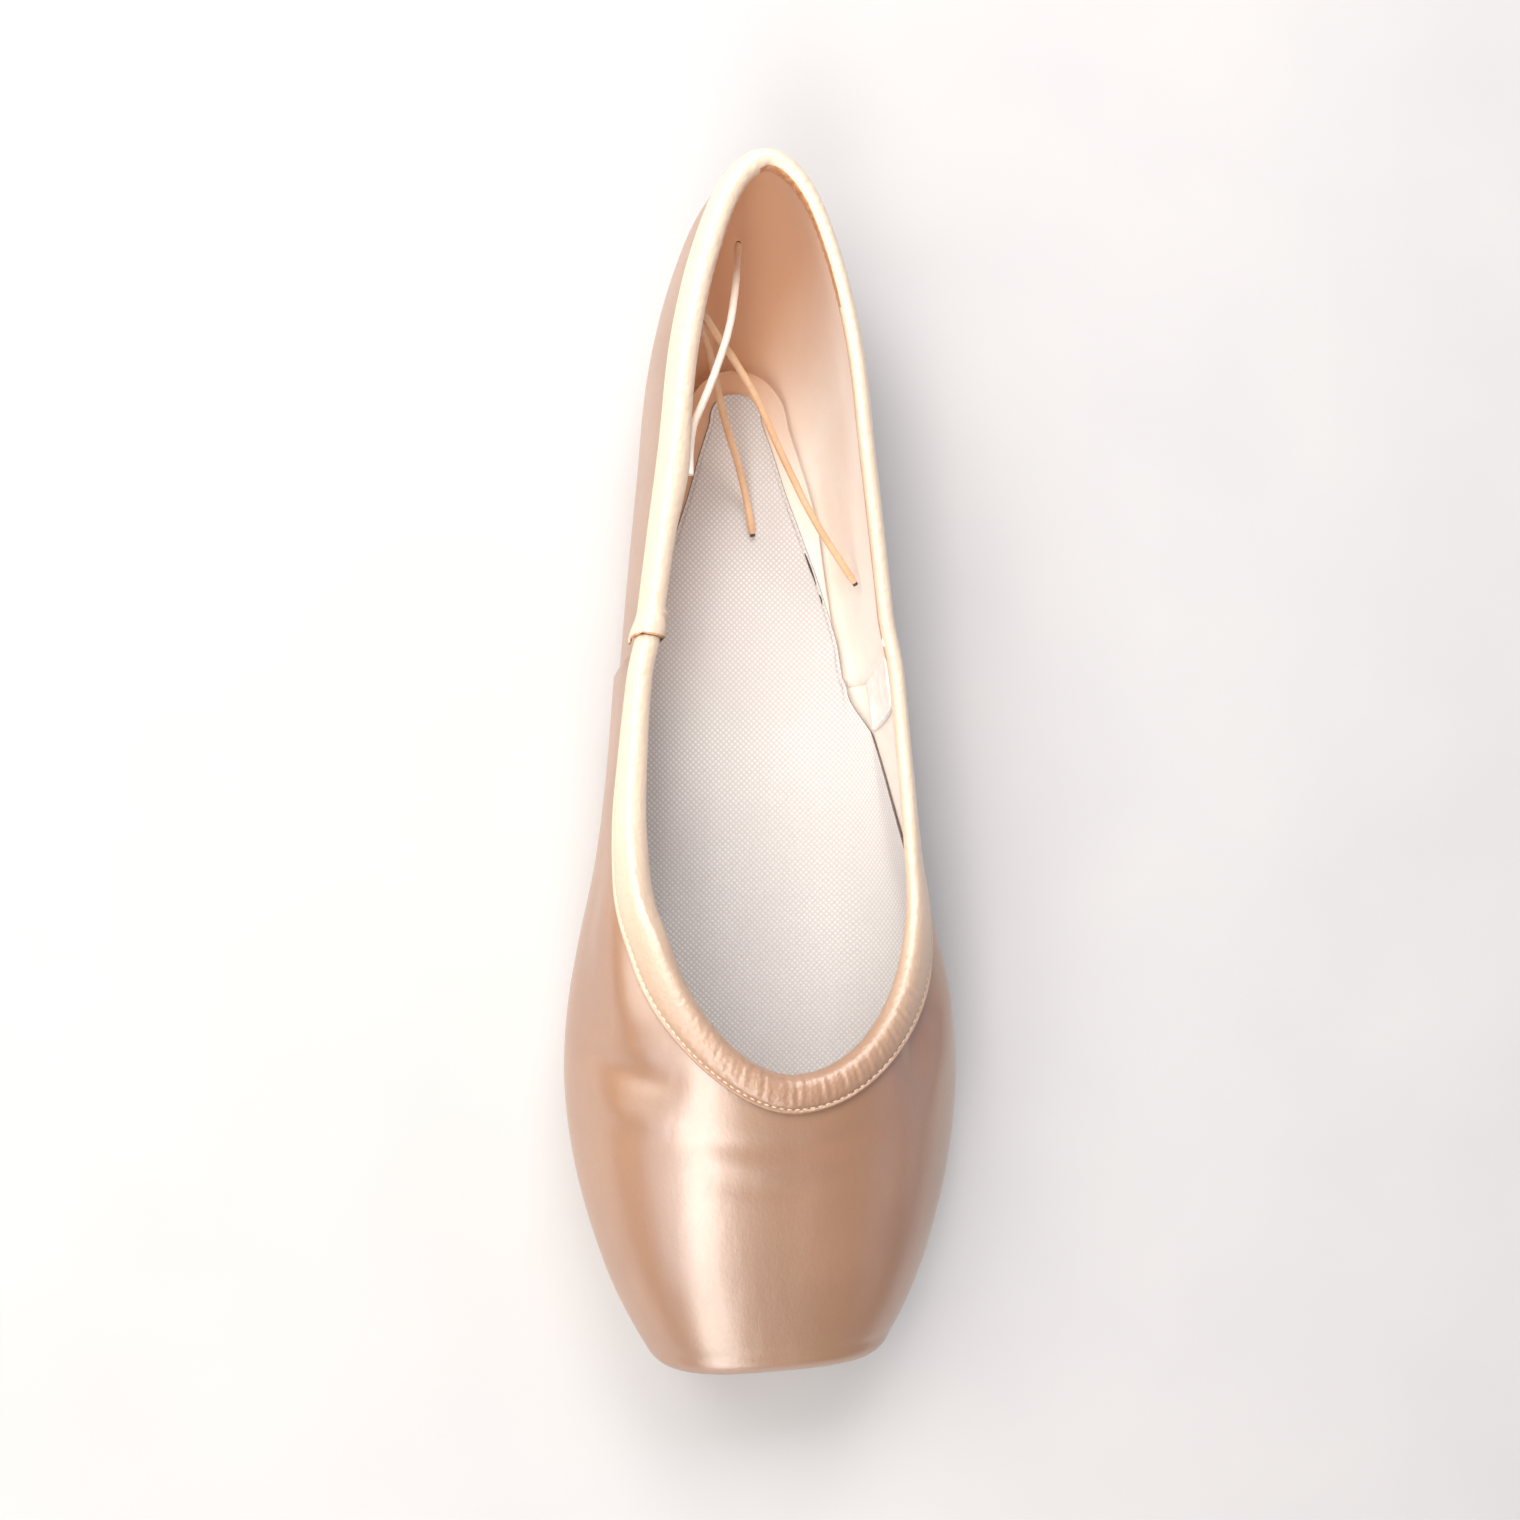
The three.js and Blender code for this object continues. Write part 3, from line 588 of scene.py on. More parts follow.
def sock_look():
    """The insole's sock: a grey twill whose fine diagonal mesh shows dark between its threads. Up the walls
    the mesh goes on at the same pitch."""
    look = Look("sock", Sheen_Weight=0.2, Sheen_Roughness=0.4)
    pitch = 0.85
    place = look.split(look.place)
    off_middle = look.math("ABSOLUTE", place[0])
    by_wall = look.math("MULTIPLY", look.span(off_middle, 0.021, 0.027), look.math("SIGN", place[0]))
    climbed = look.math("MULTIPLY", by_wall, look.math("SUBTRACT", place[2], 0.008))
    off_axis = look.math("ADD", place[0], climbed)
    spread = look.node("ShaderNodeCombineXYZ", X=off_axis, Y=place[1], Z=0.0).outputs[0]
    diagonal = look.split(look.turned(2 * math.pi / pitch, (0, 0, 45), spread))
    first = look.span(look.math("SINE", diagonal[0]), -1, 1)
    second = look.span(look.math("SINE", diagonal[1]), -1, 1)
    weave = look.math("MULTIPLY", first, second)
    patches = look.noise(0.05, detail=3.0)
    fuzz = look.noise(1.8, detail=3.0, roughness=0.7)
    thread = look.mix(look.span(patches, 0.35, 0.65), (227, 229, 232), (219, 218, 221))
    base = look.mix(look.span(weave, 0.02, 0.5), (205, 199, 197), thread)
    base = look.mix(look.span(fuzz, 0.4, 0.8, 0.0, 0.3), base, (212, 206, 205))
    normal = look.bump(weave, 0.09, 0.7)
    return look.finish(base, look.span(weave, 0, 1, 0.8, 0.6), normal)


sock = sock_look()


def leather_look():
    """Split leather with its nap up: a fine fibrous grain, and rubbed patches."""
    look = Look("sole_leather")
    light = (196, 168, 136)
    fibres = look.noise((0.9, 0.45, 0.9), detail=5.0, roughness=0.7)
    patches = look.noise(0.07, detail=4.0, roughness=0.6)
    rubs = look.noise((0.25, 0.06, 0.25), detail=3.0)
    base = look.mix(look.span(patches, 0.35, 0.65), light, (172, 142, 110))
    base = look.mix(look.span(fibres, 0.35, 0.7, 0.0, 0.35), base, (150, 120, 92))
    base = look.mix(look.span(rubs, 0.55, 0.75, 0.0, 0.3), base, light)
    normal = look.bump(fibres, 0.25, 0.5)
    return look.finish(base, look.span(fibres, 0.3, 0.7, 0.78, 0.95), normal)


sole_leather = leather_look()


def tape_look():
    """A glossy white tape with fine ribs across it."""
    look = Look("tape", Roughness=0.42, Sheen_Weight=0.15, Sheen_Roughness=0.4)
    look.shader.inputs["Specular IOR Level"].default_value = 0.6
    ribs = look.math("SINE", look.split(look.turned(2 * math.pi / 0.5))[2])
    folds = look.noise(0.25, detail=2.0)
    base = look.mix(look.span(folds, 0.35, 0.65), (255, 253, 250), (242, 236, 230))
    normal = look.bump(ribs, 0.02, 0.4)
    normal = look.bump(folds, 0.4, 0.5, below=normal)
    return look.finish(base, look.span(folds, 0.3, 0.7, 0.36, 0.5), normal)


tape = tape_look()


def cord_look(name, light, deep, strand):
    """A braided elastic cord: fine slanting strands."""
    look = Look(name, Roughness=0.6, Sheen_Weight=0.3, Sheen_Roughness=0.4)
    strands = look.noise((2.5, 1.2, 2.5), detail=3.0, roughness=0.6)
    patches = look.noise(0.1)
    base = look.mix(look.span(patches, 0.35, 0.65), light, deep)
    base = look.mix(look.span(strands, 0.4, 0.75, 0.0, 0.35), base, strand)
    return look.finish(base, look.span(strands, 0.3, 0.7, 0.5, 0.7), look.bump(strands, 0.1, 0.6))


elastic_pale = cord_look("elastic_pale", (255, 249, 241), (252, 236, 220), (238, 206, 180))
# A shaded copy of the same elastic: painted shade for the ends that lie in the heel's shadow.
elastic_shaded = cord_look("elastic_shaded", (236, 198, 162), (222, 178, 140), (190, 140, 104))


def thread_look(name, light, deep):
    """A twisted thread."""
    look = Look(name, Roughness=0.55, Sheen_Weight=0.2)
    twist = look.noise(3.0, detail=2.0)
    base = look.mix(look.span(twist, 0.3, 0.7), light, deep)
    return look.finish(base, normal=look.bump(twist, 0.05, 0.5))


pale_thread = thread_look("pale_thread", (252, 234, 214), (236, 204, 174))
# Painted shade for the sock's cut edge, where the gap by the wall is in shade.
sock_edge_shade = thread_look("sock_edge_shade", (120, 104, 98), (88, 74, 70))
# Painted shadow: dark marks at the cords' tips and at the sock's right edge.
painted_shadow = thread_look("painted_shadow", (74, 58, 52), (48, 38, 36))

# Cords
CORD = dict(diameter=1.5, sides=16, step=0.6)
# Each route as x, station and height, from the casing to the tip
CORDS = {
    "drawstring_end_rear": [
        (-15.9, 174.5, 43.7), (-15.8, 177.8, 43.4), (-15.5, 180.8, 43.1), (-14.7, 184.5, 42.7),
        (-12.9, 188.5, 42.3), (-10.9, 193.1, 41.9), (-9.1, 197.7, 41.4), (-7.5, 202.2, 40.6),
        (-6.4, 205.9, 39.2), (-5.5, 209.3, 37.0), (-4.6, 212.7, 34.2), (-3.7, 216.2, 31.0),
        (-2.9, 219.8, 27.6), (-2.1, 223.2, 24.4), (-1.3, 226.5, 21.5),
    ],
    "drawstring_end_middle": [
        (-13.7, 203.4, 43.4), (-12.9, 203.0, 42.2), (-12.0, 202.6, 39.5), (-10.6, 201.5, 36.0),
        (-9.4, 199.7, 32.8), (-8.4, 197.4, 30.1), (-7.4, 195.0, 27.4), (-6.2, 192.5, 24.3),
        (-4.9, 190.0, 21.2), (-3.5, 187.4, 18.0), (-1.9, 184.7, 14.9), (-0.4, 181.6, 12.0),
        (0.9, 178.0, 9.6), (2.1, 173.7, 7.8), (3.0, 168.5, 7.1),
    ],
    "drawstring_end_side": [
        (-13.1, 205.3, 43.9), (-12.1, 204.9, 43.0), (-10.8, 204.2, 40.4), (-8.7, 202.7, 37.2),
        (-6.3, 200.6, 34.8), (-4.0, 197.9, 33.1), (-1.7, 194.9, 31.5), (0.7, 191.3, 29.8),
        (3.1, 187.0, 28.0), (5.6, 182.4, 26.2), (8.3, 177.6, 24.6), (11.0, 172.9, 23.1),
        (14.1, 168.0, 21.8), (17.8, 162.8, 20.5), (22.2, 156.6, 19.3),
    ],
}


def centripetal(route, step):
    """Points about a step apart on a centripetal Catmull-Rom curve through a route."""
    p = np.array(route, float)
    p = np.vstack([2 * p[0] - p[1], p, 2 * p[-1] - p[-2]])
    out = []
    for a, b, c, d in zip(p, p[1:], p[2:], p[3:]):
        spans = [max(np.linalg.norm(q), 1e-6) for q in (b - a, c - b, d - c)]
        knots = np.cumsum([0] + [span**0.5 for span in spans])
        count = max(2, int(math.ceil(np.linalg.norm(c - b) / step)))
        for s in np.linspace(knots[1], knots[2], count, endpoint=False):
            e = [(knots[i + 1] - s) / (knots[i + 1] - knots[i]) for i in range(3)]
            first, second, third = (q * v + r * (1 - v) for q, r, v in zip((a, b, c), (b, c, d), e))
            u = (knots[2] - s) / (knots[2] - knots[0])
            v = (knots[3] - s) / (knots[3] - knots[1])
            left, far = first * u + second * (1 - u), second * v + third * (1 - v)
            out.append(left * e[1] + far * (1 - e[1]))
    return np.array(out + [p[-2]])


def frames_along(path):
    """Two steady cross directions along a path."""
    tangents = np.gradient(path, axis=0)
    tangents /= np.linalg.norm(tangents, axis=1, keepdims=True)
    across = [np.cross(tangents[0], (0.0, 0.0, 1.0))]
    for tangent in tangents:
        side = across[-1] - tangent * (across[-1] @ tangent)
        across.append(side / np.linalg.norm(side))
    across = np.array(across[1:])
    return across, np.cross(tangents, across)


def tube(path, radius, sides):
    """Rings of points round a path. The radius is one for each point, or one for each ring and side."""
    across, rise = frames_along(path)
    angle = np.linspace(0, 2 * math.pi, sides, endpoint=False)
    if np.ndim(radius) == 1:
        radius = radius[:, None]
    radius = np.broadcast_to(radius, (len(path), sides))
    ring = across[:, None] * np.cos(angle)[None, :, None] + rise[:, None] * np.sin(angle)[None, :, None]
    return path[:, None] + ring * radius[..., None]


def threads(name, paths, radius, sides, material):
    """Short threads as one piece, all with the same radii along them."""
    points_each = len(radius) * sides
    one = capped_faces(len(radius), sides)
    faces = [[i * points_each + corner for corner in face] for i in range(len(paths)) for face in one]
    add(name, np.concatenate([tube(path, radius, sides) for path in paths]), faces, [material])


def cord_piece(name, route, material):
    """A loose end of the drawstring, with a braided surface and a pinched tip, painted dark as the shadow at
    its end.
    """
    path = centripetal([(x, t - LENGTH / 2, z) for x, t, z in route], CORD["step"])
    sides = CORD["sides"]
    index = np.arange(len(path))[:, None]
    angle = np.linspace(0, 2 * math.pi, sides, endpoint=False)[None]
    braid = np.maximum(np.sin(4 * angle + index * 0.9), np.sin(4 * angle - index * 0.9))
    from_tip = (len(path) - 1 - index) / 2.0
    radius = CORD["diameter"] / 2 * (0.97 + 0.045 * braid)
    radius = radius * (1 - 0.3 * bell(from_tip, 1.0) + 0.12 * bell(from_tip - 2.5, 1.0))
    # The last ring and the tip's cap take the dark material: painted shadow at the tip.
    cord = add(
        name + "_cord",
        tube(path, radius, sides),
        capped_faces(len(path), sides),
        [material, painted_shadow],
        [0] * (len(path) - 2) * sides + [1] * sides + [0, 1],
        replaces=(name,),
    )


# The rear end is lit; the middle and side ends take the shaded copy, painted shade.
for name, route in CORDS.items():
    cord_piece(name, route, elastic_pale if name == "drawstring_end_rear" else elastic_shaded)

# The upper
# Turn, and the distance between columns there
UPPER_SPACING = [
    (0, 0.62), (0.7, 0.62), (0.95, 1.2), (1.42, 1.2), (1.435, 0.3), (1.46, 0.3), (1.475, 1.2), (3, 1.2),
]
OUTER_ROWS = 112
INNER_ROWS = 30
PLEATS = dict(pitch=3.1, depth=0.75)

# Soft troughs and ridges on top of the toe box: points in plan as x and station, width, and height
CREASES = [
    ([(-33.2, 102), (-32.6, 92), (-31.8, 83), (-30.2, 75), (-27.6, 68)], 4.2, 1.5),
    ([(-38, 65), (-33, 62.5), (-28, 61), (-23, 60)], 2.8, -0.85),
    ([(-37, 57), (-30, 53.5), (-22, 52)], 2.4, 0.35),
    ([(-22, 49.5), (-8, 47.5), (6, 47), (20, 50)], 1.8, -0.22),
    ([(-18, 45), (-4, 43), (8, 43.5), (17, 45)], 1.7, 0.14),
    ([(-14, 40), (-2, 38.5), (12, 39.5)], 1.8, -0.16),
    ([(24, 74), (26, 64), (27, 55)], 3.6, -1.1),
    ([(33, 84), (34.5, 72), (34, 60)], 3.0, 0.95),
]


def along_crease(x, t, line, width):
    """How near points in plan are to a line, from 0 to 1, tapering at its ends."""
    near = np.zeros_like(x)
    line = np.array(line, float)
    total = np.linalg.norm(np.diff(line, axis=0), axis=1).sum()
    before = 0.0
    for a, b in zip(line, line[1:]):
        span = np.linalg.norm(b - a)
        u = np.clip(((x - a[0]) * (b - a)[0] + (t - a[1]) * (b - a)[1]) / span**2, 0, 1)
        d = np.hypot(x - a[0] - u * (b - a)[0], t - a[1] - u * (b - a)[1])
        share = (before + u * span) / total
        taper = np.sin(math.pi * np.clip(0.08 + 0.84 * share, 0, 1)) ** 0.7
        near = np.maximum(near, bell(d, width) * taper)
        before += span
    return near


def relief(columns, p, from_rim):
    """How far the satin stands off the last, in millimetres."""
    x, t, z = p[..., 0], p[..., 1] + LENGTH / 2, p[..., 2]
    lift = np.zeros_like(x)
    for line, width, height in CREASES:
        lift += height * along_crease(x, t, line, width) * smoothstep(24, 34, z)
    # The pressed edge of the toe platform
    lift += (0.12 * bell(t - 2.4, 0.8) - 0.16 * bell(t - 4.6, 0.9)) * smoothstep(22, 28, z)
    # Slack in the quarters
    drape = np.sin(t / 17 + 0.9 * np.sin(z / 9)) * np.sin(z / 7 + t / 41) * 0.16
    lift += drape * smoothstep(60, 110, t)
    # A fold in front of the left side seam
    ahead = seam_station(z) - t
    lift += 0.9 * bell(ahead - 1.0, 1.1) * smoothstep(22, 35, z) * (columns.side < 0)
    lift *= smoothstep(1.5, 9, from_rim)
    # Pleats under the toe, from the outsole's edge outwards
    beyond_front = (OUTSOLE["front"] - t) * (t < OUTSOLE["front"])
    off_sole = np.maximum(np.abs(x) - half_width(OUTSOLE, t), beyond_front)
    under = smoothstep(9, 4.5, z) * smoothstep(-0.8, 1.2, off_sole) * smoothstep(92, 78, t)
    depth = PLEATS["depth"] * smoothstep(34, 2, np.maximum(off_sole, 0))
    foot_x, foot_t, _ = columns.place(columns.edge, EDGE_HEIGHT)
    phase = 2 * math.pi * run_along(np.concatenate([foot_x, foot_t], axis=1))[:, None] / PLEATS["pitch"]
    phase = phase + 0.9 * np.sin(phase / 5.3) + 0.35 * np.sin(phase / 2.1)
    wave = np.sin(phase + 0.55 * np.sin(phase))
    return lift + under * depth * (wave - 0.6)


def upper_piece():
    """Satin outside, with its relief, and lining cloth inside, a wall's thickness further in."""
    columns = all_round(spread_turns(UPPER_SPACING))

    def from_rim_to_end(rows):
        share = np.linspace(0, 1, rows)[None]
        return columns.surface(columns.angles_at(columns.rim, columns.end, lambda length: length * share))

    outer = from_rim_to_end(OUTER_ROWS)
    raised = outer + normals(outer) * relief(columns, outer, run_along(outer))[..., None]
    inner = from_rim_to_end(INNER_ROWS)
    y, t, z = inner[..., 1], inner[..., 1] + LENGTH / 2, inner[..., 2]
    ripple = np.maximum(0.1 * np.sin(y / 6.5 + z / 11) * smoothstep(4, 12, z), -0.05)
    seam_ridge = 0.4 * bell(t - seam_station(z) - 0.6, 0.7)
    inner = inner - normals(inner) * (wall_at(t) + ripple + seam_ridge)[..., None]
    rings = np.concatenate([raised, inner[:, ::-1]], axis=1)
    count = OUTER_ROWS + INNER_ROWS
    faces = grid_faces(len(rings), count, True, True)
    slots = np.where(np.tile(np.arange(count), len(rings)) < OUTER_ROWS - 1, 0, 1)
    add("upper_satin", rings, faces, [satin, lining], slots, replaces=("upper",))


upper_piece()

# The casing round the rim
# Depth below the rim, and distance off the wall's outer face
CASING_OUTSIDE = [
    (8.15, 0.45), (8.1, 0.75), (7.75, 0.98), (7.4, 0.98), (7.1, 0.7), (6.9, 0.62),
    (6.7, 0.72), (6.3, 1.1), (5.6, 1.36), (4.6, 1.5), (3.6, 1.58), (2.6, 1.6),
    (1.6, 1.55), (0.7, 1.45), (0.0, 1.22), (-0.5, 0.9), (-0.9, 0.45),
]
# Depth below the rim, and distance off the wall's inner face
CASING_INSIDE = [
    (-0.9, 0.4), (-0.4, 0.85), (0.3, 1.15), (1.2, 1.3), (2.2, 1.36),
    (3.2, 1.3), (4.4, 1.12), (5.3, 0.9), (6.0, 0.8), (6.4, 0.45),
]
CASING_TOP = 1.3
# The hollow at the casing's mouth: depth below the rim, distance off the wall on that side, and lift
MOUTH_INSIDE = [(6.4, 0.75, 0.0), (3.4, 1.45, 0.0), (0.0, 1.3, 1.45)]
MOUTH_OUTSIDE = [(0.0, 1.5, 1.45), (3.4, 1.75, 0.0), (8.1, 1.1, 0.0)]
MOUTH = dict(length=6.5, flare=0.75, overlap=2.2, drop=0.5, lip=0.2)
CASING_DEPTH = dict(throat=0.7, sides=0.84)
CASING_JOINT = 143.0
CASING_SPACING = 0.42
CASING_SEAM_HALF = 6.0
# The stitches lie in the groove at a depth below the rim
STITCH = dict(down=6.9, pitch=1.5, length=1.05, radius=0.17, sink=0.1, sides=6, rings=7)
# On the left the casing leans in over the foot in front of the waist, and a little where the cord comes out
CASING_LEAN = dict(station=98, reach=24, width=1.1, at_cord=0.8, cord_station=174.5, cord_reach=8)
# The share by which the casing is thinner on the right
CASING_SLIM = 0.42
# Rows of the inside that stay smooth above the ruching in front
CASING_INNER_EDGE = 2
# The share by which the casing is less deep at the joint, and how far in front of it that begins
NECK = dict(share=0.26, reach=34)
# The heel's crest turns so tightly that the casing's sections are eased into each other there
CREST = dict(reach=9, passes=30)


def turn_at(station):
    return 1 + (station - TOE_FAN) / (HEEL_FAN - TOE_FAN)


def casing_columns():
    """Columns from the joint on the left side forward round the toe and back along the right side to the
    joint, where the rear end's mouth covers the front end."""
    turns = spread_turns([(0, CASING_SPACING), (3, CASING_SPACING)])
    under, mouth = turn_at(CASING_JOINT + MOUTH["overlap"]), turn_at(CASING_JOINT - MOUTH["overlap"])
    front_left = [under] + [turn for turn in turns[::-1] if turn < under - 0.004]
    right_side = list(turns[1:])
    rear_left = [turn for turn in turns[::-1][1:] if turn > mouth + 0.004] + [mouth]
    turn = front_left + right_side + rear_left
    side = [-1] * len(front_left) + [1] * len(right_side) + [-1] * len(rear_left)
    return Columns(turn, side, CASING_SEAM_HALF)


def gathers(x, run, station, down):
    """How much the casing puffs and pinches at a place along it, as a share of its thickness."""
    throat = smoothstep(92, 66, station) * (0.35 + 0.65 * smoothstep(-12, 8, x))
    heel = smoothstep(190, 226, station)
    amount = 0.015 + 0.035 * throat + 0.06 * heel
    wave = np.sin(2 * math.pi * run / 2.3 + 1.5 * np.sin(run / 4.1))
    wave += 0.7 * np.sin(2 * math.pi * run / 1.45 + 2.3 * np.sin(run / 6.3))
    slow = np.sin(run / 5.3 + 0.9 * np.sin(run / 12.1))
    return amount * (0.6 * wave + 0.5 * slow) * smoothstep(7.0, 5.4, down)


def casing_sections(columns):
    """The casing's section at each column, as rings of points, and the line of its stitches."""
    top = columns.surface(columns.rim)[:, 0]
    station = top[:, 1] + LENGTH / 2
    rear = smoothstep(60, 84, station)
    scale = CASING_DEPTH["throat"] + (CASING_DEPTH["sides"] - CASING_DEPTH["throat"]) * rear
    slim = CASING_SLIM * smoothstep(74, 104, station) * smoothstep(-3, 13, top[:, 0])
    run = run_along(top)
    on_left = columns.side[:, 0] < 0
    front_end = on_left & (station < CASING_JOINT + MOUTH["overlap"] + 1) & (run < run[-1] / 2)
    neck = front_end * smoothstep(CASING_JOINT - NECK["reach"], CASING_JOINT, station)
    scale = scale * (1 - NECK["share"] * neck)
    to_mouth = run[-1] - run
    flare = smoothstep(MOUTH["length"], 1.5, to_mouth)
    hollow = smoothstep(MOUTH["length"] - 0.6, MOUTH["length"] - 2.0, to_mouth)
    lip = MOUTH["lip"] * smoothstep(0.5, 0.0, to_mouth)
    opened = MOUTH["flare"] * flare - lip
    lean = bell(station - CASING_LEAN["station"], CASING_LEAN["reach"])
    lean += CASING_LEAN["at_cord"] * bell(station - CASING_LEAN["cord_station"], CASING_LEAN["cord_reach"])
    lean *= CASING_LEAN["width"] * on_left
    at_heel = smoothstep(206, 226, station) * smoothstep(-6, 4, top[:, 0])
    hollows = MOUTH_INSIDE + MOUTH_OUTSIDE
    downs = np.array([row[0] for row in CASING_OUTSIDE + CASING_INSIDE + hollows] + [1.0])
    wanted = scale[:, None] * np.maximum(0, downs)[None]
    wanted += (downs > 6.3)[None] * (MOUTH["drop"] * flare)[:, None]
    wanted[:, -1] = 1.0
    angles = columns.angles_at(columns.rim, columns.rim - 0.75, lambda length: wanted)
    p = columns.surface(angles)
    facing = normals(p, columns.seam_half)
    rise = top - p[:, -1]
    rise /= np.linalg.norm(rise, axis=1, keepdims=True)
    wall = wall_at(station)
    rows = []

    def at(i, off, lift=0.0):
        return p[:, i] + facing[:, i] * np.reshape(off, (-1, 1)) + rise * np.reshape(lift, (-1, 1))

    def puff(down):
        return gathers(top[:, 0], run, station, down)

    for i, (down, off) in enumerate(CASING_OUTSIDE):
        swell = puff(down)
        lift = max(0.0, -down) * (1 + 0.6 * swell + opened)
        rows.append(at(i, off * (1 + swell) * (1 - slim) + opened, lift))
    middle = top - normals(top, columns.seam_half) * (wall + lean)[:, None] / 2
    rows.append(middle + rise * (CASING_TOP * (1 + 0.7 * puff(0.0)) + opened)[:, None])
    count = len(CASING_OUTSIDE)
    for i, (down, off) in enumerate(CASING_INSIDE):
        swell = puff(max(down, 0.0) * 1.1) * (1 + 1.6 * at_heel)
        lift = max(0.0, -down) * (1 + 0.6 * swell + opened)
        thick = off * (1 - swell) * (1 - slim) + lean * smoothstep(6.4, 3.4, down) + opened
        rows.append(at(count + i, -wall - thick, lift))
    count += len(CASING_INSIDE)
    for i, (down, off, lift) in enumerate(hollows):
        inside = i < len(MOUTH_INSIDE)
        depth = GAP + (off + lip - GAP) * hollow
        high = (GAP if down == 0 else 0.0) * (1 - hollow) + (lift + (lip if lift else 0.0)) * hollow
        rows.append(at(count + i, -wall - depth if inside else depth, high))
    rings = np.stack(rows, axis=1)
    ease = bell(np.arange(len(run)) - np.argmax(top[:, 1]), CREST["reach"])[1:-1, None, None]
    for _ in range(CREST["passes"]):
        rings[1:-1] += (rings[:-2] - 2 * rings[1:-1] + rings[2:]) / 4 * ease
    groove = [row[0] for row in CASING_OUTSIDE].index(STITCH["down"])
    return rings, rings[:, groove], facing[:, groove]


def casing_stitches(line, facing):
    """Plump little threads end to end in the casing's groove, each dipping into the satin at both ends."""
    run = run_along(line)
    arch = np.linspace(-1, 1, STITCH["rings"])
    radius = STITCH["radius"] * np.sqrt(np.maximum(0.12, 1 - np.abs(arch) ** 4))
    rise = STITCH["radius"] * (0.9 - 1.4 * np.abs(arch)[:, None] ** 3) - STITCH["sink"]
    paths = []
    for start in np.arange(STITCH["pitch"], run[-1] - STITCH["pitch"], STITCH["pitch"]):
        s = start + arch * STITCH["length"] / 2
        path = np.stack([np.interp(s, run, c) for c in line.T], axis=1)
        face = np.stack([np.interp(s, run, c) for c in facing.T], axis=1)
        paths.append(path + face * rise)
    threads("casing_stitches", paths, radius, STITCH["sides"], pale_thread)


def casing_piece():
    """The casing. Its inner edge is ruched at the heel and along the right side, where it takes painted brown
    shade for its wrinkles, and its mouth is turned in."""
    rings, line, facing = casing_sections(casing_columns())
    count = rings.shape[1]
    middle = rings.mean(axis=1)[:-1, None]
    ruched_shade = (middle[..., 1] > 20) & (middle[..., 0] > -3)
    first = len(CASING_OUTSIDE) + np.where(middle[..., 1] > 88, 0, CASING_INNER_EDGE)
    row = np.arange(count)[None]
    inner = (row > first) & (row <= len(CASING_OUTSIDE) + len(CASING_INSIDE))
    slots = (ruched_shade & inner).astype(int)
    # The mouth's end also takes the ruched material, with its painted shade.
    slots[-1] = 1
    slots = np.concatenate([slots.ravel(), [0, 1]])
    faces = capped_faces(len(rings), count)
    materials = [casing_satin, casing_ruched_shaded]
    add("casing_band", rings, faces, materials, slots, replaces=("collar_casing",))
    casing_stitches(line, facing)


casing_piece()


# Soles and insole
def stations_of(plan, count):
    middle, reach = (plan["front"] + plan["back"]) / 2, (plan["back"] - plan["front"]) / 2
    return middle - reach * np.cos(math.pi * (np.arange(count) + 0.5) / count)


def outsole_piece():
    """A thin leather sole with a rounded edge, and a groove along it underneath."""
    t = stations_of(OUTSOLE, 150)
    half = half_width(OUTSOLE, t)
    # Distance outwards from the edge, and height over the lower face
    edge = [
        (-0.25, 2.2), (0.0, 1.9), (0.06, 1.1), (-0.1, 0.55), (-0.45, 0.15), (-1.0, 0.0), (-2.3, 0.0),
        (-2.6, 0.22), (-2.9, 0.0),
    ]
    across = np.linspace(0.9, -0.9, 25)

    def reach(past_edge):
        return np.maximum(half + past_edge, half * 0.05)

    right = [(reach(past_edge), height) for past_edge, height in edge]
    bottom = [(reach(edge[-1][0]) * u, 0.0) for u in across]
    left = [(-x, height) for x, height in right[::-1]]
    top = [(reach(edge[0][0]) * u, SOLE_THICKNESS) for u in across[::-1]]
    ring = right + bottom + left + top
    rings = np.stack([points(x, t, ground(t) + height) for x, height in ring], axis=1)
    faces = capped_faces(len(rings), len(ring))
    add("outsole_leather", rings, faces, [sole_leather], replaces=("outsole",))


INSOLE_THICKNESS = 1.6
INSOLE_CLEARANCE = 1.2
INSOLE_CUP = 1.8


def inner_face(t, z):
    """The half width at which the upper's inner face stands at stations and heights."""
    return bisect(0 * t, 0 * t + 60, lambda x: outside(x, t, z) > -wall_at(t))


def insole_section(t):
    """Height of the insole board's lower face in the middle, and its half width."""
    low = underside(t) + wall_at(t) + GAP
    room = inner_face(t, low + INSOLE_CUP * 0.6) - INSOLE_CLEARANCE
    return low, np.minimum(half_width(INSOLE, t), room)


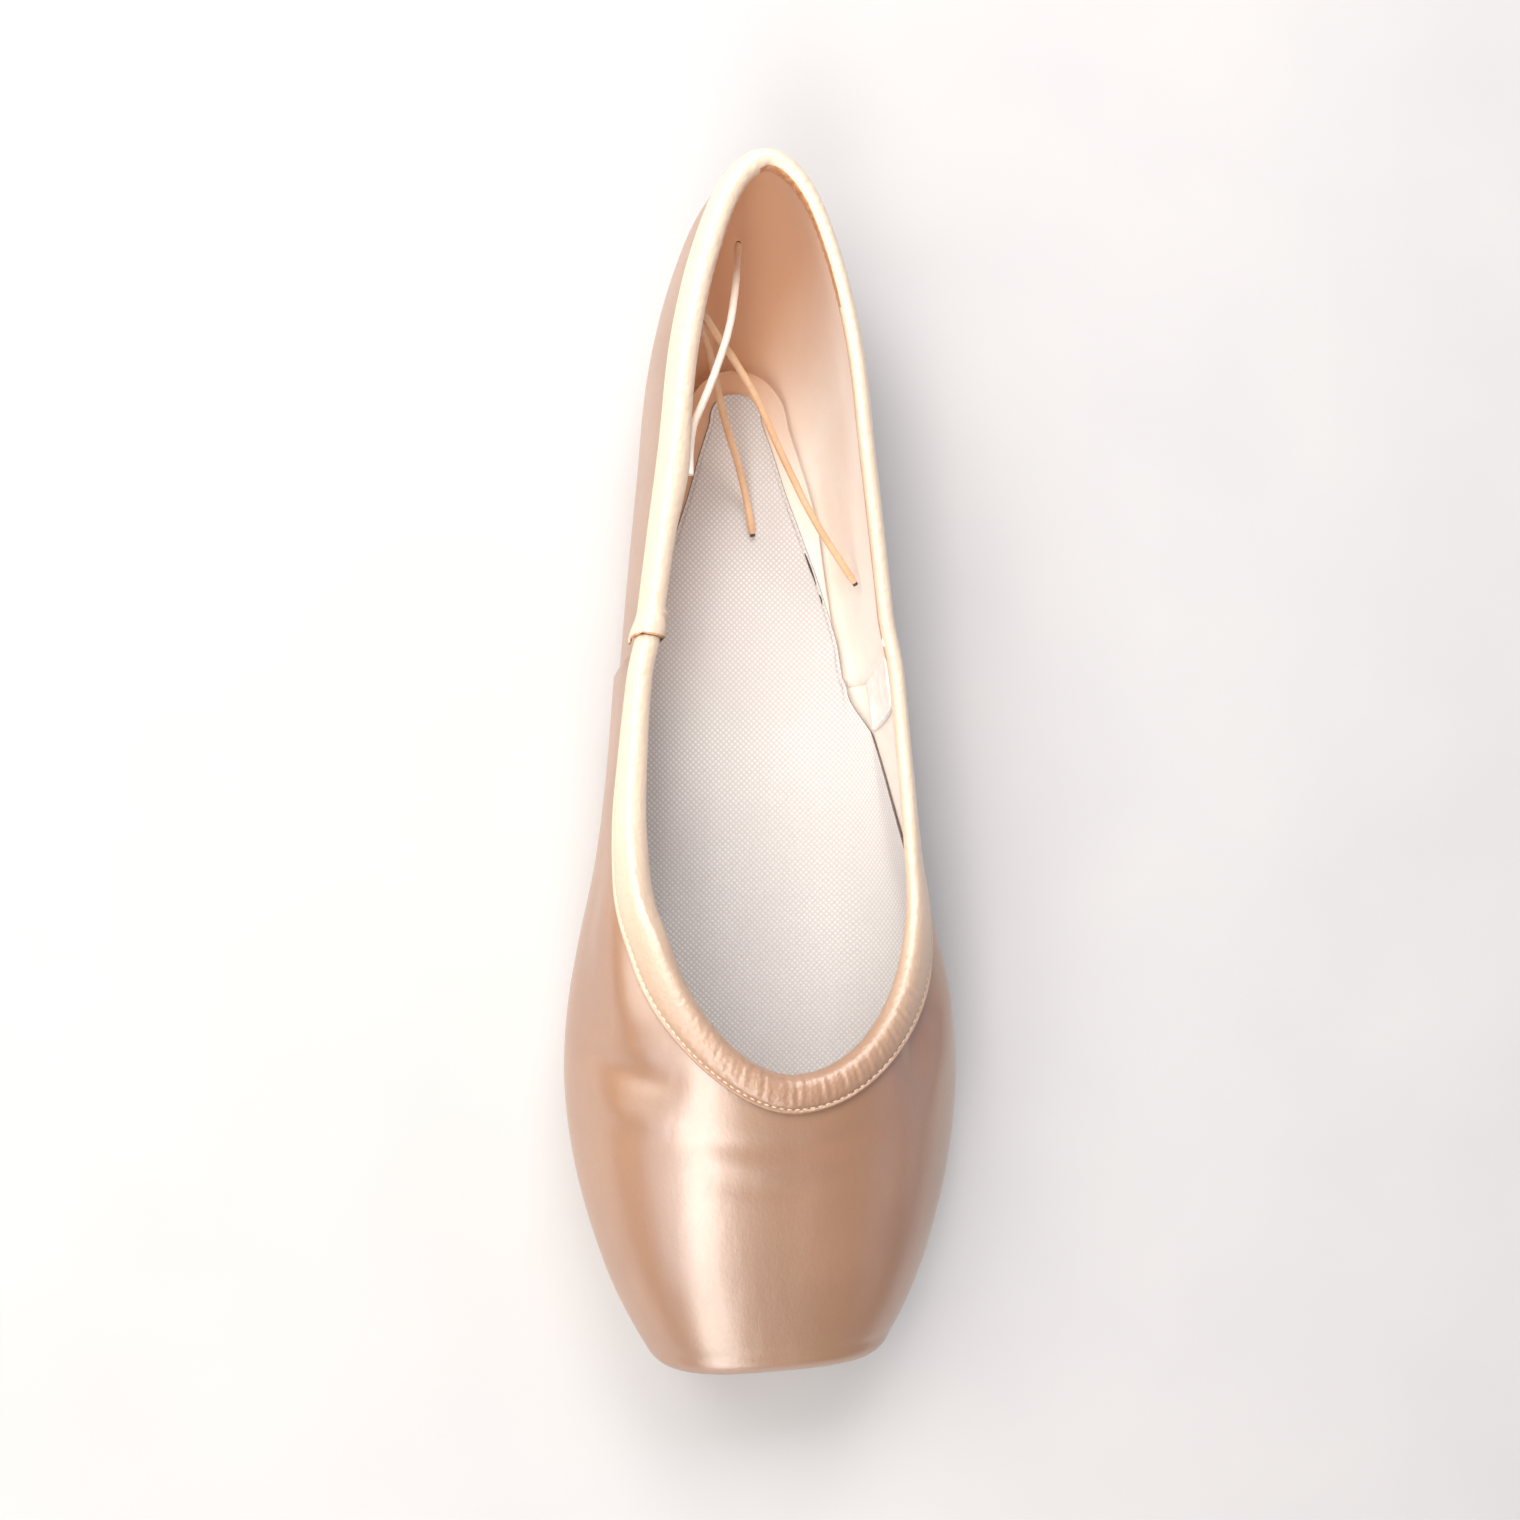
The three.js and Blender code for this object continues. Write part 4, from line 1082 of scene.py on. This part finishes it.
def insole_piece():
    """The insole board, covered with lining cloth."""
    t = stations_of(INSOLE, 130)
    low, edge = insole_section(t)
    # Distance in from the edge and height over the lower face
    rim = [(-0.35, 0.0), (-0.08, 0.25), (0.0, 0.8), (-0.1, 1.3), (-0.4, 1.6)]
    across = np.linspace(1, -1, 31)

    def at(x, lift):
        u = np.abs(x) / np.maximum(edge, 1e-3)
        return points(x, t, low + lift + INSOLE_CUP * u**5)

    inner = np.maximum(edge - 0.6, edge * 0.1)
    right_rim = [at(np.maximum(edge + d, edge * 0.1), h) for d, h in rim]
    left_rim = [at(-np.maximum(edge + d, edge * 0.1), h) for d, h in rim[::-1]]
    top = [at(inner * u, INSOLE_THICKNESS) for u in across]
    bottom = [at(inner * u, 0.0) for u in across[::-1]]
    rings = np.stack(right_rim + top + left_rim + bottom, axis=1)
    faces = capped_faces(len(rings), rings.shape[1])
    add("insole_board", rings, faces, [lining], replaces=("insole",))


SOCK = dict(
    front=15.2,
    back=199,
    thickness=0.45,
    below_rim=7.2,
    off_wall=0.35,
    wall_steps=12,
    rows=[
        (20, 15.8), (28, 22.8), (38, 27.8), (50, 31.2), (64, 31.6), (80, 31.2),
        (96, 30.0), (112, 27.7), (126, 24.5), (138, 21.3), (150, 18.4), (160, 15.7),
        (170, 12.4), (178, 9.6), (186, 7.2), (193, 4.8),
    ],
)
# Short dark marks along the sock's right edge, painted shade of the gap by the wall: station and length
SOCK_SHADE_MARKS = [(161.5, 7.0), (155.0, 2.0)]


def sock_height(x, t):
    low, edge = insole_section(t)
    u = np.minimum(1, np.abs(x) / np.maximum(edge, 1e-3))
    return low + INSOLE_THICKNESS + INSOLE_CUP * u**5


def sock_edges(t):
    """Half width of the sock's flat part, the height of its edge, and how high it climbs the wall."""
    edge = insole_section(t)[1] - 0.5
    half = np.minimum(half_width(SOCK, t), edge)
    foot = sock_height(half, t)
    top = rim_height_at(np.maximum(t, 76)) - SOCK["below_rim"]
    ahead = np.clip((134 - t) / 54, 0, 1)
    share = (ahead + smoothstep(134, 80, t)) / 2 * smoothstep(44, 60, t)
    return half, foot, np.maximum(0, top - foot) * share


def sock_piece():
    """The woven sock that lies on the insole board, and in front climbs the walls to the casing. Its cut edge
    is painted dark as the shade in the gap by the wall, and it lifts a little here and there."""
    t = stations_of(SOCK, 170)
    half, foot, climb = sock_edges(t)
    across = np.linspace(1, -1, 57)
    steps = SOCK["wall_steps"]
    thickness = SOCK["thickness"]

    def flat(u, lift):
        x = half * u
        curl = 0.25 * np.abs(u) ** 8 * (0.5 + 0.5 * np.sin(t / 6.1 + 2 * np.sign(u))) * (climb < 0.5)
        wave = 0.07 * np.sin(t / 13 + x / 9) + 0.05 * np.sin(t / 7.1 - x / 11)
        return points(x, t, sock_height(x, t) + np.where(lift > 0, lift + curl + wave, 0.02))

    def wall(side, k, lift):
        z = foot + climb * k / steps + 0.03 * k + np.where(lift > 0, 0.0, 0.02)
        rounded = lift + 0.6 * np.exp(-3.0 * k / steps) * (climb > 0.5)
        by_wall = inner_face(t, z) - SOCK["off_wall"] - rounded
        x = np.minimum(by_wall, half + 1.7 * (z - foot) + 0.02 * k - lift * 0.2)
        return points(side * x, t, z + (lift if k < steps else 0) * np.exp(-climb * k / steps))

    top = [wall(1, k, thickness) for k in range(steps, 0, -1)]
    top += [flat(u, thickness) for u in across]
    top += [wall(-1, k, thickness) for k in range(1, steps + 1)]
    bottom = [wall(-1, k, 0.0) for k in range(steps, 0, -1)]
    bottom += [flat(u * 0.997, 0.0) for u in across[::-1]]
    bottom += [wall(1, k, 0.0) for k in range(1, steps + 1)]
    rings = np.stack(top + bottom, axis=1)
    count = rings.shape[1]
    # The edge faces take the dark material: painted shade of the gap by the wall.
    ring_slots = np.zeros(count, int)
    ring_slots[[len(top) - 1, count - 1]] = 1
    slots = np.concatenate([np.tile(ring_slots, len(rings) - 1), [1, 1]])
    add("insole_sock", rings, capped_faces(len(rings), count), [sock, sock_edge_shade], slots)


def sock_shade_marks():
    """Short dark threads along the sock's right edge, painted shade of the gap between the sock and the wall.
    """
    radius = np.array([0.08, 0.2, 0.26, 0.28, 0.26, 0.2, 0.08])
    paths = []
    for station, length in SOCK_SHADE_MARKS:
        along = np.linspace(station + length / 2, station - length / 2, len(radius))
        x, z, _ = sock_edges(along)
        paths.append(points(x + 0.15, along, z + SOCK["thickness"] + 0.1))
    threads("sock_shade_marks", paths, radius, 6, painted_shadow)


outsole_piece()
insole_piece()
sock_piece()
sock_shade_marks()

# Tapes inside
SIDE_TAPE = dict(
    width=11, thickness=0.6, low=12.2, below_rim=7.0, ahead_of_seam=0.9, lean=0.12, rows=46, lines=29,
)


def tape_piece(word, side):
    """A tape on the upper's inner face beside the side seam, from below the casing down to the insole, with
    folded edges and soft creases."""
    u = np.linspace(-1, 1, SIDE_TAPE["lines"])[:, None]
    v = np.linspace(0, 1, SIDE_TAPE["rows"])[None]
    middle = SEAM["station"] - SIDE_TAPE["ahead_of_seam"] - SIDE_TAPE["width"] / 2
    columns = Columns(turn_at(middle + u[:, 0] / 2 * SIDE_TAPE["width"]), side)
    start = 0 * columns.rim
    first = columns.angles_at(columns.rim, columns.rim - 0.75, lambda length: start + SIDE_TAPE["below_rim"])
    last = -bisect(start, start + 1.4, lambda a: columns.surface(-a)[..., 2] < SIDE_TAPE["low"])
    p = columns.surface(columns.angles_at(first, last, lambda length: length * v))
    facing = normals(p)
    depth = (wall_at(p[..., 1] + LENGTH / 2) + GAP)[..., None]
    lean = np.zeros_like(p)
    lean[..., 1] = SIDE_TAPE["lean"] * (p[..., 2] - 12)
    crease = 0.16 * np.sin(11 * v + 2.2 * u) * np.sin(5 * v + 1.1)
    crease = crease + 0.12 * bell(u - 0.35 * np.sin(4 * v), 0.22)
    hem = 0.22 * bell(np.abs(u) - 0.86, 0.1) - 0.3 * smoothstep(0.93, 1.0, np.abs(u))
    thick = (SIDE_TAPE["thickness"] + np.clip(crease + hem, -0.4, 0.5))[..., None]
    near, far = p - facing * depth + lean, p - facing * (depth + thick) + lean
    rings = np.concatenate([near, far[:, ::-1]], axis=1)
    faces = capped_faces(len(rings), rings.shape[1])
    add(f"tape_{word}", rings, faces, [tape], replaces=(f"side_tape_{word}",))


tape_piece("right", 1)
tape_piece("left", -1)


# Floor and light
def floor_piece():
    """A wide pale floor."""
    look = Look("floor", Roughness=0.7)
    speck = look.noise(0.02, detail=2.0)
    material = look.finish(look.mix(look.span(speck, 0.3, 0.7), (207, 206, 207), (203, 202, 204)))
    reach = 2500
    corners = [(-reach, -reach, 0), (reach, -reach, 0), (reach, reach, 0), (-reach, reach, 0)]
    new_mesh("floor", corners, [(0, 1, 2, 3)], [material])


floor_piece()

bpy.context.scene.view_settings.view_transform = "Standard"
world = bpy.data.worlds.new("studio")
bpy.context.scene.world = world
world.use_nodes = True
world.node_tree.nodes["Background"].inputs["Color"].default_value = colour((240, 242, 255))
world.node_tree.nodes["Background"].inputs["Strength"].default_value = 0.1

# In metres: how far off the lights stand, and the height over the floor that they face
LIGHT = dict(distance=1.1, aim=0.02)


def area_light(name, place, size, power, tint):
    """A light that faces the shoe, with its longer side along the shoe."""
    data = bpy.data.lights.new(name, "AREA")
    data.shape = "RECTANGLE"
    data.size, data.size_y = size
    data.energy = power
    data.color = colour(tint)[:3]
    light = bpy.data.objects.new(name, data)
    bpy.context.scene.collection.objects.link(light)
    away = place.normalized()
    along = (Vector((0, 1, 0)) - away * away.y).normalized()
    turned = Matrix((along.cross(away), along, away)).transposed().to_4x4()
    light.matrix_world = Matrix.Translation(place + Vector((0, 0, LIGHT["aim"]))) @ turned


def round_about(azimuth, elevation):
    """A place seen from the lights' aim, at an azimuth from +X towards +Y and an elevation in degrees."""
    a, e = math.radians(azimuth), math.radians(elevation)
    return LIGHT["distance"] * Vector((math.cos(a) * math.cos(e), math.sin(a) * math.cos(e), math.sin(e)))


# Name, azimuth and elevation, size across and along, power and colour
for name, azimuth, elevation, size, power, tint in (
    ("key", 180, 68, (0.4, 1.7), 8.2, (255, 250, 242)),
    ("low_left", 180, 14, (0.2, 2.0), 1.2, (255, 200, 150)),
    ("wing", 177, 38, (0.6, 0.5), 2.3, (255, 247, 234)),
    ("right_card", 0, 34, (0.35, 2.4), 1.1, (206, 214, 255)),
    ("low_right", 0, 12, (0.2, 1.4), 0.6, (200, 216, 255)),
    ("rear", 90, 46, (0.5, 0.5), 7.6, (255, 253, 250)),
    ("rear_left", 135, 38, (0.5, 0.5), 5.2, (255, 251, 246)),
    ("front_left", 225, 35, (0.5, 0.5), 1.3, (244, 248, 255)),
    ("front", 270, 48, (0.5, 0.5), 0.3, (255, 252, 248)),
):
    area_light(name, round_about(azimuth, elevation), size, power, tint)

# The key goes on towards the front as a second strip, which the toe's slope reflects
lower = math.radians(56)
front = Vector((0, -LIGHT["distance"], 0))
key_front = round_about(180, 68) * math.cos(lower) + front * math.sin(lower)
area_light("key_front", key_front, (0.4, 1.1), 4.8, (255, 250, 242))
